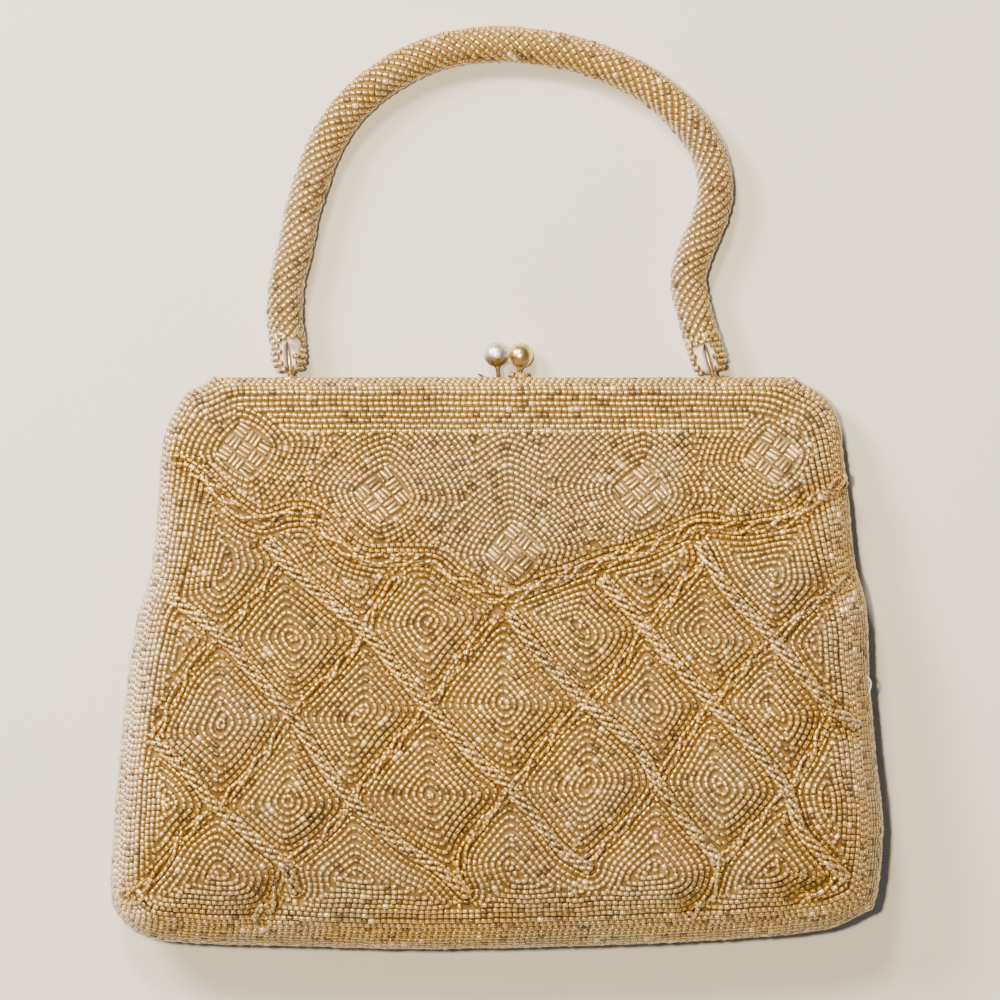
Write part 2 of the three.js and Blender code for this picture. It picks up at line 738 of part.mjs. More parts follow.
// Hinge pins: a shank through both ears with a low head at each end
const shankLength = 2 * earThickness + 3 * gap;
const pinProfile = [
  [0, -shankLength / 2 - pinHeadThickness],
  [pinHeadDiameter * 0.35, -shankLength / 2 - pinHeadThickness],
  [pinHeadDiameter / 2, -shankLength / 2 - pinHeadThickness * 0.4],
  [pinHeadDiameter / 2, -shankLength / 2],
  [pinDiameter / 2, -shankLength / 2],
];
const mirroredPin = [...pinProfile].reverse().map(([radius, along]) => [radius, -along]);
for (const [outward, hingeX] of hingePlaces) {
  const side = outward < 0 ? 'left' : 'right';
  const pin = addPiece(frameGroup, `hinge_pin_${side}`, turned([...pinProfile, ...mirroredPin], 12), silver);
  pin.rotation.z = Math.PI / 2;
  pin.position.set(hingeX, -hingeDrop, 0);
}

// Kiss-lock knobs: a ball on a stem that stands on the top of one half of the frame
const barTopFace = -frameTopInset + gap;

function knobGeometry(length) {
  const ballRadius = ballDiameter / 2;
  const stemRadius = stemDiameter / 2;
  const profile = [[0, 0], [stemRadius, 0]];
  const neck = Math.asin(stemRadius / ballRadius);
  const rings = 9;
  for (let ring = 0; ring < rings; ring++) {
    const angle = THREE.MathUtils.lerp(neck, Math.PI, ring / rings);
    profile.push([ballRadius * Math.sin(angle), length - ballRadius * Math.cos(angle)]);
  }
  profile.push([0, length + ballRadius]);
  return turned(profile, 14);
}

const knobs = [
  { name: 'clasp_knob_front', facing: 1, finish: silver },
  { name: 'clasp_knob_back', facing: -1, finish: brass },
];
for (const { name, facing, finish } of knobs) {
  const foot = new THREE.Vector3(claspMiddle - facing * stemSpacing, barTopFace, facing * stemDiameter);
  const ball = new THREE.Vector3(
    claspMiddle - facing * ballSideOffset, ballCentreAboveMouth, facing * ballDepthOffset);
  const knob = addPiece(frameGroup, name, knobGeometry(foot.distanceTo(ball)), finish);
  knob.position.copy(foot);
  knob.quaternion.setFromUnitVectors(new THREE.Vector3(0, 1, 0), ball.clone().sub(foot).normalize());
}

// Handle ends: a wire post stands on the front half of the frame and runs up a slot in a satin tip
const postHeight = postReach + frameTopInset - gap;
const postFacing = gap / 2 + postDiameter / 2;
const tipLow = postHeight - tipSlotRun;

function postGeometry() {
  const radius = postDiameter / 2;
  return turned([[0, 0], [radius, 0], [radius, postHeight - radius], [radius * 0.6, postHeight], [0, postHeight]], 8);
}

function tipGeometry() {
  const wide = handleDiameter / 2;
  const narrow = handleTipEndDiameter / 2;
  const profile = [
    [0, tipLow],
    [narrow, tipLow],
    [wide * 0.72, tipLow + handleTipLength * 0.16],
    [wide * 0.95, tipLow + handleTipLength * 0.42],
    [wide, tipLow + handleTipLength * 0.7],
    [wide * 0.96, tipLow + handleTipLength],
    [0, tipLow + handleTipLength],
  ];
  const slotWidth = postDiameter + 2 * gap;
  const slot = new THREE.Shape();
  slot.moveTo(-slotWidth / 2, tipLow - slotWidth);
  slot.lineTo(slotWidth / 2, tipLow - slotWidth);
  slot.lineTo(slotWidth / 2, postHeight);
  slot.absarc(0, postHeight, slotWidth / 2, 0, Math.PI, false);
  slot.closePath();
  const cut = new THREE.ExtrudeGeometry(slot, { depth: handleDiameter, bevelEnabled: false, curveSegments: 4 });
  cut.translate(0, 0, -postDiameter / 2 - gap);
  return fromSolid(toSolid(turned(profile, 14)).subtract(toSolid(cut)));
}

const ropeStarts = [];
for (const { side, across, lean } of handleEnds) {
  const end = new THREE.Group();
  end.position.set((across * handleSpan) / 2, barTopFace, postFacing);
  end.rotation.z = THREE.MathUtils.degToRad(lean);
  frameGroup.add(end);
  addPiece(end, `handle_post_${side}`, postGeometry(), brass);
  addPiece(end, `handle_tip_${side}`, tipGeometry(), satin);
  end.updateWorldMatrix(true, false);
  const seat = tipLow + handleTipLength + 2 * gap;
  ropeStarts.push([0, 0.5].map((share) => (
    new THREE.Vector3(0, seat + share * handleDiameter, 0).applyMatrix4(end.matrixWorld))));
}

// Handle: a stuffed rope that lies on the floor along its arch and rises to the tips
const ropeRadius = handleDiameter / 2;
const layPoints = handleRoute.map(({ across, up }) => (
  new THREE.Vector3((across * handleSpan) / 2, topY + up * handleRise, ropeRadius)));
const ropeCurve = new THREE.CatmullRomCurve3([...ropeStarts[0], ...layPoints, ...ropeStarts[1].reverse()]);
const ropeSides = 12;
const ropeStep = 9;
const ropeSteps = Math.round(ropeCurve.getLength() / ropeStep);
const ropePoints = ropeCurve.getSpacedPoints(ropeSteps);
addPiece(bag, 'handle_rope', tubeAlong(ropePoints, handleDiameter, ropeSides), beadGold);

export default bag;
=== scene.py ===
import math

import bpy
import numpy as np
from mathutils import Matrix, Vector
from mathutils.kdtree import KDTree


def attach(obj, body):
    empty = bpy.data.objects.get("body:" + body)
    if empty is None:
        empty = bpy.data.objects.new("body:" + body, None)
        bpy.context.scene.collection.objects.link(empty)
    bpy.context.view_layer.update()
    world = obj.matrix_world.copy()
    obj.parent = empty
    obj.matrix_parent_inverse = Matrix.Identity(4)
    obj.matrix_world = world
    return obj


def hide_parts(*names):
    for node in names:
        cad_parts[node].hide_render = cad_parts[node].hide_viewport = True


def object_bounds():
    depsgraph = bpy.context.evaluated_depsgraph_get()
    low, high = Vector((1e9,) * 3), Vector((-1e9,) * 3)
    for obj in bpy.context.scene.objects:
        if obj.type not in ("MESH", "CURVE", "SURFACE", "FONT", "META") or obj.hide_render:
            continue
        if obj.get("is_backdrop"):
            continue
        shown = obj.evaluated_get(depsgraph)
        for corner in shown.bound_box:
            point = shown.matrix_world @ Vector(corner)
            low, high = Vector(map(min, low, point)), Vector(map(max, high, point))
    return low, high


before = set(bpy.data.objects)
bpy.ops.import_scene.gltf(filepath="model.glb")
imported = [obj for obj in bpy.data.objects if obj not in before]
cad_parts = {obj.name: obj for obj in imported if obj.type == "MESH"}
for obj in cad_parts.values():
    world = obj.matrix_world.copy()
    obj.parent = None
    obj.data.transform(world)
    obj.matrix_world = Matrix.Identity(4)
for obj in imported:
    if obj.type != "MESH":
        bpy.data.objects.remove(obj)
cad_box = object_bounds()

# The bag lies on its back on a pale floor, seen from straight above. The camera stands far off with
# a long lens. One light comes from the upper left, as from a window, a warmer one from the ceiling
# beyond the handle, and the warmest, a small lamp, from almost straight above.
MM = 0.001
PHOTO_WIDTH = 279.8
VIEW_CENTRE = (0.98, 45.5)
CAMERA_HEIGHT = 2000
SEAM_LEVEL = 14
SENSOR_WIDTH = 36
FLOOR_REACH = 9
ROOM_LIGHT = 0.13

camera_data = bpy.data.cameras.new("camera")
camera_data.sensor_width = SENSOR_WIDTH
camera_data.lens = SENSOR_WIDTH * (CAMERA_HEIGHT - SEAM_LEVEL) / PHOTO_WIDTH
camera = bpy.data.objects.new("camera", camera_data)
camera.location = (VIEW_CENTRE[0] * MM, VIEW_CENTRE[1] * MM, CAMERA_HEIGHT * MM)
bpy.context.scene.collection.objects.link(camera)
bpy.context.scene.camera = camera


class Value:
    """The output of a node in a material. Sums on it add Math nodes."""

    def __init__(self, look, socket):
        self.look = look
        self.socket = socket

    def sum(self, operation, first, second):
        return self.look.node("ShaderNodeMath", {"operation": operation}, {0: first, 1: second})

    def __add__(self, other):
        return self.sum("ADD", self, other)

    def __radd__(self, other):
        return self.sum("ADD", other, self)

    def __sub__(self, other):
        return self.sum("SUBTRACT", self, other)

    def __rsub__(self, other):
        return self.sum("SUBTRACT", other, self)

    def __mul__(self, other):
        return self.sum("MULTIPLY", self, other)

    def __rmul__(self, other):
        return self.sum("MULTIPLY", other, self)


class Look:
    """A material in the making, on one Principled shader whose steady values are set at once."""

    def __init__(self, name, **steady):
        self.material = bpy.data.materials.new(name)
        self.material.use_nodes = True
        self.tree = self.material.node_tree
        self.shader = self.tree.nodes["Principled BSDF"]
        for socket, value in steady.items():
            self.shader.inputs[socket.replace("_", " ")].default_value = value

    def node(self, kind, settings=None, inputs=None, output=0):
        node = self.tree.nodes.new(kind)
        for name, value in (settings or {}).items():
            setattr(node, name, value)
        for name, value in (inputs or {}).items():
            if isinstance(value, Value):
                self.tree.links.new(value.socket, node.inputs[name])
            else:
                node.inputs[name].default_value = value
        return Value(self, node.outputs[output])

    def mix(self, share, low, high):
        colours = {0: share}
        for place, colour in ((6, low), (7, high)):
            colours[place] = colour if isinstance(colour, Value) else (*colour, 1)
        settings = {"data_type": "RGBA", "clamp_factor": True}
        return self.node("ShaderNodeMix", settings, colours, output=2)

    def between(self, value, low, high):
        """Smooth step of a value from 0 at low to 1 at high."""
        return self.node("ShaderNodeMapRange", {"interpolation_type": "SMOOTHSTEP"},
                         {0: value, 1: low, 2: high, 3: 0.0, 4: 1.0})

    def place(self):
        return self.node("ShaderNodeTexCoord", output="Object")

    def noise(self, scale, detail):
        values = {"Vector": self.place(), "Scale": scale, "Detail": detail}
        return self.node("ShaderNodeTexNoise", None, values, output="Fac")

    def attribute(self, name, output="Fac"):
        return self.node("ShaderNodeAttribute", {"attribute_name": name}, output=output)

    def feed(self, socket, value):
        self.tree.links.new(value.socket, self.shader.inputs[socket])

    def bump(self, height, strength, distance):
        values = {"Height": height, "Strength": strength, "Distance": distance}
        self.feed("Normal", self.node("ShaderNodeBump", None, values))


floor_look = Look("pale_floor", Base_Color=(0.74, 0.73, 0.71, 1), Roughness=0.6)
floor_mesh = bpy.data.meshes.new("floor")
floor_corners = [(x * FLOOR_REACH, y * FLOOR_REACH, 0) for x, y in ((-1, -1), (1, -1), (1, 1), (-1, 1))]
floor_mesh.from_pydata(floor_corners, [], [(0, 1, 2, 3)])
floor_mesh.materials.append(floor_look.material)
floor = bpy.data.objects.new("floor", floor_mesh)
bpy.context.scene.collection.objects.link(floor)
floor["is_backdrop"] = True

LIGHTS = (
    ("window_light", (-0.95, 0.8, 0.85), 0.45, 36, (1.0, 0.95, 0.86)),
    ("ceiling_light", (-0.3, 0.95, 1.2), 0.25, 22, (1.0, 0.87, 0.68)),
    ("lamp", (-0.2, 0.1, 1.5), 0.08, 28, (1.0, 0.82, 0.52)),
)
for name, place, size, power, colour in LIGHTS:
    light_data = bpy.data.lights.new(name, "AREA")
    light_data.size, light_data.energy, light_data.color = size, power, colour
    light = bpy.data.objects.new(name, light_data)
    light.location = place
    light.rotation_euler = (-Vector(place)).to_track_quat("-Z", "Y").to_euler()
    bpy.context.scene.collection.objects.link(light)
world = bpy.data.worlds.new("soft_room")
world.use_nodes = True
background = world.node_tree.nodes["Background"]
background.inputs["Color"].default_value = (0.86, 0.9, 1.0, 1)
background.inputs["Strength"].default_value = ROOM_LIGHT
bpy.context.scene.world = world


# The front is one piece of gold cloth over padding. The padding is drawn down along the cords, so
# the cloth stands up in puffs between them, and it turns over the mouth and round the sides.
BODY_HEIGHT = 158.6
BASE_WIDTH = 214.6
MOUTH_WIDTH = 163
MOUTH_DEPTH = 12
FULL_DEPTH = 36
MOUTH_SLIT = 5.4
MOUTH_ROLL = 3.6
SIDE_ROLL_AT_MOUTH = 7
SIDE_ROLL_AT_BASE = 24
QUILT_DEPTH = 3.2
QUILT_GROOVE = 10
PLAIN_BAND = 14
EYE_RISE = 0.9
EYE_WIDTH = 26
SEAM_GAP = 0.3
TOP_Y = BODY_HEIGHT / 2
CLOTH_BELOW = {"front": 0.6, "back": 1.3}
CLOTH_WALL = 1.0
CLOTH_GRID = {"front": (112, 86), "back": (70, 56)}
SLIT_SQUARENESS = 24
GRID_CROWDING = 1.6
POINTS_PER_SPAN = 40
LINE_STEP = 0.25
OUTLINE_STEP = 0.02

# Columns: share of the height below the mouth, then how far the left and the right side have spread
SIDE_OUTLINE = np.array([
    (0.0, -0.08, 0.08), (0.011, 0.0, 0.16), (0.028, 0.2, 0.35), (0.055, 0.31, 0.49), (0.09, 0.41, 0.56),
    (0.143, 0.47, 0.59), (0.213, 0.49, 0.64), (0.319, 0.55, 0.7), (0.372, 0.62, 0.79), (0.425, 0.72, 0.84),
    (0.531, 0.82, 0.86), (0.672, 0.91, 0.93), (0.778, 0.96, 1.0), (0.884, 1.0, 0.96), (0.93, 0.97, 0.9),
])
# Columns: share of half the base's width, then share of the height above the lowest point
BASE_OUTLINE = np.array([
    (-0.968, 0.039), (-0.93, 0.026), (-0.8, 0.011), (-0.46, 0.004), (-0.22, 0.0), (0.01, 0.002),
    (0.38, 0.009), (0.64, 0.019), (0.79, 0.028), (0.88, 0.039), (0.94, 0.055),
])
# Columns: share of the height below the mouth, fullness, height of the seam as a share of the depth
SIDE_PROFILE = np.array([
    (0.0, 0.0, 0.5), (0.08, 0.08, 0.48), (0.16, 0.24, 0.44), (0.28, 0.47, 0.4), (0.4, 0.67, 0.38),
    (0.55, 0.87, 0.37), (0.72, 1.0, 0.38), (0.86, 0.97, 0.4), (1.0, 0.84, 0.44),
])
# Left, right, top and base of a straight view of the body, in whose units the cords and eyes are given
VIEW_EDGES = (113, 880, 379, 946)
QUILT_CORDS = (
    ((162, 742), (190, 768), (213, 797), (240, 820), (270, 846), (288, 862), (297, 884)),
    ((178, 600), (222, 635), (270, 690), (292, 712), (330, 770), (353, 797), (400, 840), (440, 865), (466, 888)),
    ((270, 545), (300, 577), (366, 633), (400, 672), (429, 706), (480, 760), (512, 787), (560, 845), (588, 864)),
    ((510, 616), (545, 660), (585, 701), (635, 745), (656, 780), (685, 820), (718, 858)),
    ((602, 582), (644, 627), (670, 660), (710, 702), (755, 750), (785, 790), (800, 830), (838, 872)),
    ((700, 546), (725, 590), (773, 641), (800, 675), (826, 706), (848, 724)),
)
CROSS_CORDS = (
    ((284, 562), (255, 600), (222, 637)), ((222, 637), (190, 675), (160, 735)),
    ((397, 580), (375, 610), (366, 633)), ((366, 633), (335, 672), (292, 712)),
    ((292, 712), (270, 748), (222, 803)), ((222, 803), (190, 830), (160, 872), (137, 892)),
    ((498, 617), (470, 650), (429, 706)), ((429, 706), (395, 745), (353, 797)),
    ((353, 797), (325, 833), (287, 858)), ((287, 858), (275, 895), (258, 915)),
    ((644, 627), (620, 665), (585, 701)), ((585, 701), (550, 738), (512, 787)),
    ((512, 787), (465, 845), (466, 888)), ((705, 560), (675, 595), (644, 627)),
    ((773, 641), (745, 665), (710, 702)), ((710, 702), (685, 735), (656, 780)),
    ((656, 780), (625, 820), (588, 855)), ((842, 582), (815, 600), (773, 641)),
    ((826, 706), (812, 742), (785, 790)), ((785, 790), (755, 820), (718, 858)),
    ((718, 858), (710, 888), (692, 907)), ((838, 872), (822, 885), (800, 894)),
)
YOKE_CORD = (
    (176, 458), (205, 478), (235, 508), (262, 523), (290, 515), (316, 518), (340, 545), (370, 560), (430, 561),
    (460, 580), (500, 599), (545, 584), (600, 564), (660, 545), (700, 526), (740, 529), (790, 520), (820, 495),
    (842, 481),
)
EYES = ((245, 450), (383, 495), (514, 552), (640, 492), (772, 456))


def length_of(line):
    return np.linalg.norm(np.diff(line, axis=0), axis=1).sum()


def unit(vectors):
    return vectors / np.linalg.norm(vectors, axis=-1, keepdims=True)


def even_places(line, shares):
    """Places on a line at shares of its length."""
    steps = np.linalg.norm(np.diff(line, axis=0), axis=1)
    length = np.concatenate([[0], np.cumsum(steps)])
    wanted = np.asarray(shares) * length[-1]
    return np.stack([np.interp(wanted, length, axis) for axis in line.T], axis=1)


def smooth_line(points):
    """Fine line on the smooth curve through some points."""
    points = np.asarray(points, float)
    last = len(points) - 1
    along = np.linspace(0, last, POINTS_PER_SPAN * last + 1)
    start = np.minimum(along.astype(int), last - 1)
    share = (along - start)[:, None]
    a, b = points[start], points[start + 1]
    leave = (b - points[np.maximum(start - 1, 0)]) / 2
    arrive = (points[np.minimum(start + 2, last)] - a) / 2
    return (2 * a - 2 * b + leave + arrive) * share ** 3 + (3 * b - 3 * a - 2 * leave - arrive) * share ** 2 \
        + leave * share + a


def from_view(route):
    left, right, top, base = VIEW_EDGES
    x, y = np.asarray(route, float).reshape(-1, 2).T
    across = (2 * x - left - right) / (right - left)
    down = (y - top) / (base - top)
    return np.stack([across * BASE_WIDTH / 2, TOP_Y - down * BODY_HEIGHT], axis=1)


def fine_places(line, step):
    return even_places(line, np.linspace(0, 1, int(length_of(line) / step) + 2))


def in_space(places):
    """Places as rows of three numbers. Those in plan get a height of 0."""
    flat = places.reshape(-1, places.shape[-1])
    return flat if flat.shape[1] == 3 else np.column_stack([flat, np.zeros(len(flat))])


def tree_over(places):
    """Search tree over some places."""
    tree = KDTree(len(places))
    for index, place in enumerate(in_space(places)):
        tree.insert(place, index)
    tree.balance()
    return tree


def tree_of(lines, step=LINE_STEP):
    """Search tree over fine points of some lines."""
    return tree_over(np.concatenate([fine_places(line, step) for line in lines]))


def distance_to(tree, places):
    """Distance from each place to the nearest point of a tree."""
    return np.array([tree.find(place)[2] for place in in_space(places)]).reshape(places.shape[:-1])


reach = {side: MOUTH_WIDTH / 2 + (BASE_WIDTH - MOUTH_WIDTH) / 2 * SIDE_OUTLINE[:, column]
         for side, column in (("left", 1), ("right", 2))}
side_heights = TOP_Y - SIDE_OUTLINE[:, 0] * BODY_HEIGHT
left_edge = smooth_line(np.column_stack([-reach["left"], side_heights]))
right_edge = smooth_line(np.column_stack([reach["right"], side_heights]))
base_points = np.column_stack([BASE_OUTLINE[:, 0] * BASE_WIDTH / 2, BASE_OUTLINE[:, 1] * BODY_HEIGHT - TOP_Y])
base_points[0], base_points[-1] = left_edge[-1], right_edge[-1]
base_edge = smooth_line(base_points)
mouth_edge = np.array([left_edge[0], right_edge[0]])

outline_tree = tree_of([left_edge, base_edge, right_edge], OUTLINE_STEP)
quilt_lines = [smooth_line(from_view(route)) for route in QUILT_CORDS]
cross_lines = [smooth_line(from_view(route)) for route in CROSS_CORDS]
yoke_line = smooth_line(from_view(YOKE_CORD))
groove_tree = tree_of([*quilt_lines, *cross_lines, yoke_line])
eye_places = from_view(EYES)


def roll_over(distance, radius):
    """Rise of a rounded edge, from 0 at its foot to 1 a radius further in."""
    left = 1 - np.minimum(distance / radius, 1)
    return np.sqrt(1 - left ** 2)


def body_at(face, places):
    """Height of one face of the bag, with the measures that the rows of beads follow."""
    down = (TOP_Y - places[..., 1]) / BODY_HEIGHT
    fullness = np.interp(down, SIDE_PROFILE[:, 0], SIDE_PROFILE[:, 1])
    depth = MOUTH_DEPTH + (FULL_DEPTH - MOUTH_DEPTH) * fullness
    seam = depth * np.interp(down, SIDE_PROFILE[:, 0], SIDE_PROFILE[:, 2])
    from_mouth = np.maximum(TOP_Y - places[..., 1], 0)
    from_side = distance_to(outline_tree, places)
    side_roll = SIDE_ROLL_AT_MOUTH + (SIDE_ROLL_AT_BASE - SIDE_ROLL_AT_MOUTH) * fullness
    crown = roll_over(from_side, side_roll) * roll_over(from_mouth, MOUTH_ROLL)
    across = np.minimum(np.abs(places[..., 0]) / (MOUTH_WIDTH / 2), 1)
    slit = (1 - across ** SLIT_SQUARENESS) * (1 - np.minimum(from_mouth / MOUTH_ROLL, 1))
    parting = SEAM_GAP / 2 + (MOUTH_SLIT - SEAM_GAP) / 2 * slit
    if face == "back":
        rise = seam - parting
        height = rise * (1 - crown)
    else:
        rise = depth - seam - parting
        height = seam + parting + rise * crown
    return {"height": height, "rise": rise, "from_side": from_side, "from_mouth": from_mouth,
            "side_roll": side_roll}


def quilting_at(places, from_side):
    """Relief of the quilting: low eyes in the yoke and grooves under the cords."""
    from_band = np.maximum(TOP_Y - places[..., 1] - PLAIN_BAND, 0)
    share = np.minimum(np.minimum(from_side, from_band) / (SIDE_ROLL_AT_BASE / 2), 1)
    eyes = sum(np.exp(-(2 * np.linalg.norm(places - eye, axis=-1) / EYE_WIDTH) ** 2) for eye in eye_places)
    groove = np.exp(-(2 * distance_to(groove_tree, places) / QUILT_GROOVE) ** 2)
    return share * (EYE_RISE * eyes - QUILT_DEPTH * groove)


def face_grid(face, columns, rows):
    """Points and outward normals over one face of the bag, with its measures at each."""
    def crowd(count):
        centred = np.linspace(-1, 1, count + 1)
        return (1 + np.sign(centred) * (1 - (1 - np.abs(centred)) ** GRID_CROWDING)) / 2
    across, down = crowd(columns), crowd(rows)
    left, right = even_places(left_edge, down)[:, None], even_places(right_edge, down)[:, None]
    mouth, base = even_places(mouth_edge, across)[None], even_places(base_edge, across)[None]
    a, d = across[None, :, None], down[:, None, None]
    upper, lower = (edge[:, :1] * (1 - a) + edge[:, -1:] * a for edge in (mouth, base))
    corners = upper * (1 - d) + lower * d
    places = left * (1 - a) + right * a + mouth * (1 - d) + base * d - corners
    body = body_at(face, places)
    height = body["height"]
    if face == "front":
        height = height + quilting_at(places, body["from_side"])
    points = np.dstack([places, height])
    downward, rightward = np.gradient(points, axis=0), np.gradient(points, axis=1)
    normals = np.cross(downward, rightward)
    if face == "back":
        normals = -normals
    for edge, run, way in (((slice(None), 0), downward, -1), ((slice(None), -1), downward, 1),
                           ((0, slice(None)), rightward, 1), ((-1, slice(None)), rightward, -1)):
        x, y = run[edge][:, 0], run[edge][:, 1]
        normals[edge] = np.column_stack([-y, x, 0 * x]) * way
    for row, column, step in ((0, 0, 1), (0, -1, -2), (-1, 0, 1), (-1, -1, -2)):
        normals[row, column] = normals[row, step]
    return points, unit(normals), body


def new_piece(name, vertices, faces, material=None, edges=()):
    """Smooth mesh object at the origin, from places in millimetres."""
    mesh = bpy.data.meshes.new(name)
    mesh.from_pydata([tuple(v) for v in np.asarray(vertices) * MM], [tuple(e) for e in edges],
                     [tuple(int(i) for i in f) for f in faces])
    mesh.polygons.foreach_set("use_smooth", [True] * len(mesh.polygons))
    if material:
        mesh.materials.append(material)
    piece = bpy.data.objects.new(name, mesh)
    bpy.context.scene.collection.objects.link(piece)
    return piece


def grid_faces(rows, columns, start, flip):
    corner = (np.arange(rows)[:, None] * (columns + 1) + np.arange(columns)[None]).ravel() + start
    quads = np.column_stack([corner, corner + columns + 1, corner + columns + 2, corner + 1])
    return quads[:, ::-1] if flip else quads


def closed_shell(name, face, material):
    """Cloth with a wall: the face's grid a little below the beads, and a lining inside it."""
    columns, rows = CLOTH_GRID[face]
    points, normals, _ = face_grid(face, columns, rows)
    outer = points - normals * CLOTH_BELOW[face]
    lining = points - normals * (CLOTH_BELOW[face] + CLOTH_WALL)
    flip = face == "back"
    count = (rows + 1) * (columns + 1)
    faces = [*grid_faces(rows, columns, 0, flip), *grid_faces(rows, columns, count, not flip)]
    index = np.arange(count).reshape(rows + 1, columns + 1)
    loop = np.concatenate([index[0, :-1], index[:-1, -1], index[-1, :0:-1], index[:0:-1, 0]])
    for here, there in zip(loop, np.roll(loop, -1)):
        rim = (here, there, there + count, here + count)
        faces.append(rim[::-1] if flip else rim)
    return new_piece(name, np.concatenate([outer.reshape(-1, 3), lining.reshape(-1, 3)]), faces, material)


ground_look = Look("gold_ground_cloth", Roughness=0.6, Specular_IOR_Level=0.3)
weave = ground_look.node("ShaderNodeTexWave", {"bands_direction": "DIAGONAL"},
                         {"Vector": ground_look.place(), "Scale": 900.0, "Distortion": 2.0, "Detail": 1.0})
ground_tone = ground_look.noise(70.0, 4.0)
ground_look.feed("Base Color", ground_look.mix(
    ground_look.between(ground_tone, 0.3, 0.7), (0.19, 0.105, 0.027), (0.32, 0.195, 0.06)))
ground_look.bump(weave, 0.4, 0.0002)

front_cloth = closed_shell("front_cloth", "front", ground_look.material)
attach(front_cloth, "root")
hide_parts("front_panel")

# The back is the same cloth without padding. It lies flat on the floor and turns up to the seam.
back_cloth = closed_shell("back_cloth", "back", ground_look.material)
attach(back_cloth, "root")
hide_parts("back_panel")

# The front is covered with champagne glass beads, each silvered in its hole. Their colour has a
# painted highlight, a bright line along each bead's middle, and painted shade at its ends; its amber
# sides are partly the glass and partly painted shade. They are strung and couched in rows a bead's
# width apart: along the edges, round the eyes of the yoke, and in rings that fill each puff of the quilting.
BAND_PITCH = 1.74
BAND_BEAD = (1.74, 1.84)
CELL_PITCH = 1.56
CELL_BEAD = (1.66, 1.78)
STRING_BEAD = (1.3, 1.9)
STRING_STEP = STRING_BEAD[1] - 0.02
TOP_ROWS = 12
SIDE_ROWS = 10
EYE_PATCH = 8.6
EYE_RINGS = 14
YOKE_EDGE = 5.4
YOKE_EDGE_START = 1.5
BARE_SPOT = 1.28
SPOTS_APART = 1.4
EYE_SQUARENESS = 1.35
EYE_IN_SIDE_ROWS = 12
EYE_IN_YOKE_EDGE = 10.5
BARE_UNDER_THICK = 0.9
BARE_UNDER_THIN = 0.5
QUILT_SPLIT = -22
SEAM_ROWS_START = 0.6
EDGE_BLUR = 1.6
CELL_BLUR = 1.1
CELL_START = 0.35
GROOVE_SHADE_REACH = 4.4
GROOVE_SHADE_SHIFT = 0.4
ROW_GRID = {"front": (300, 220), "back": (240, 180)}
BEAD_STEP = 1.74
SHORTEST_ROW = 1.0


def ring_faces(count, sides):
    """Faces of a tube through a count of rings of points, closed at both ends."""
    last = (count - 1) * sides
    faces = [tuple(reversed(range(sides))), tuple(range(last, last + sides))]
    for ring in range(0, last, sides):
        for side in range(sides):
            here, there = ring + side, ring + (side + 1) % sides
            faces.append((here, there, there + sides, here + sides))
    return faces


def bead_shape(name, diameter, length, rings, sides):
    """Bead round the X axis. Each ring is a share of half the length and of the radius. The value
    crown says how far each point faces out of the cloth, and rim is 1 round the bead's two holes."""
    turns = np.arange(sides) * 2 * math.pi / sides
    vertices = [(along * length / 2, wide * diameter / 2 * math.sin(t), wide * diameter / 2 * math.cos(t))
                for along, wide in rings for t in turns]
    faces = [tuple(range(sides)), tuple(reversed(range(len(vertices) - sides, len(vertices))))]
    for ring in range(len(rings) - 1):
        for side in range(sides):
            here, there = ring * sides + side, ring * sides + (side + 1) % sides
            faces.append((here, here + sides, there + sides, there))
    bead = new_piece(name, vertices, faces)
    values = {"crown": [v[2] / (diameter / 2) for v in vertices],
              "rim": [float(abs(along) == 1) for along, _ in rings for _ in turns]}
    for key, numbers in values.items():
        bead.data.attributes.new(key, "FLOAT", "POINT").data.foreach_set("value", numbers)
    return bead


BARREL = ((-1, 0.66), (-0.74, 1), (0.74, 1), (1, 0.66))
TUBE = ((-1, 0.8), (-0.86, 1), (0.86, 1), (1, 0.8))
band_bead = bead_shape("band_bead", *BAND_BEAD, BARREL, 6)
cell_bead = bead_shape("cell_bead", *CELL_BEAD, BARREL, 5)
string_bead = bead_shape("string_bead", *STRING_BEAD, BARREL, 6)


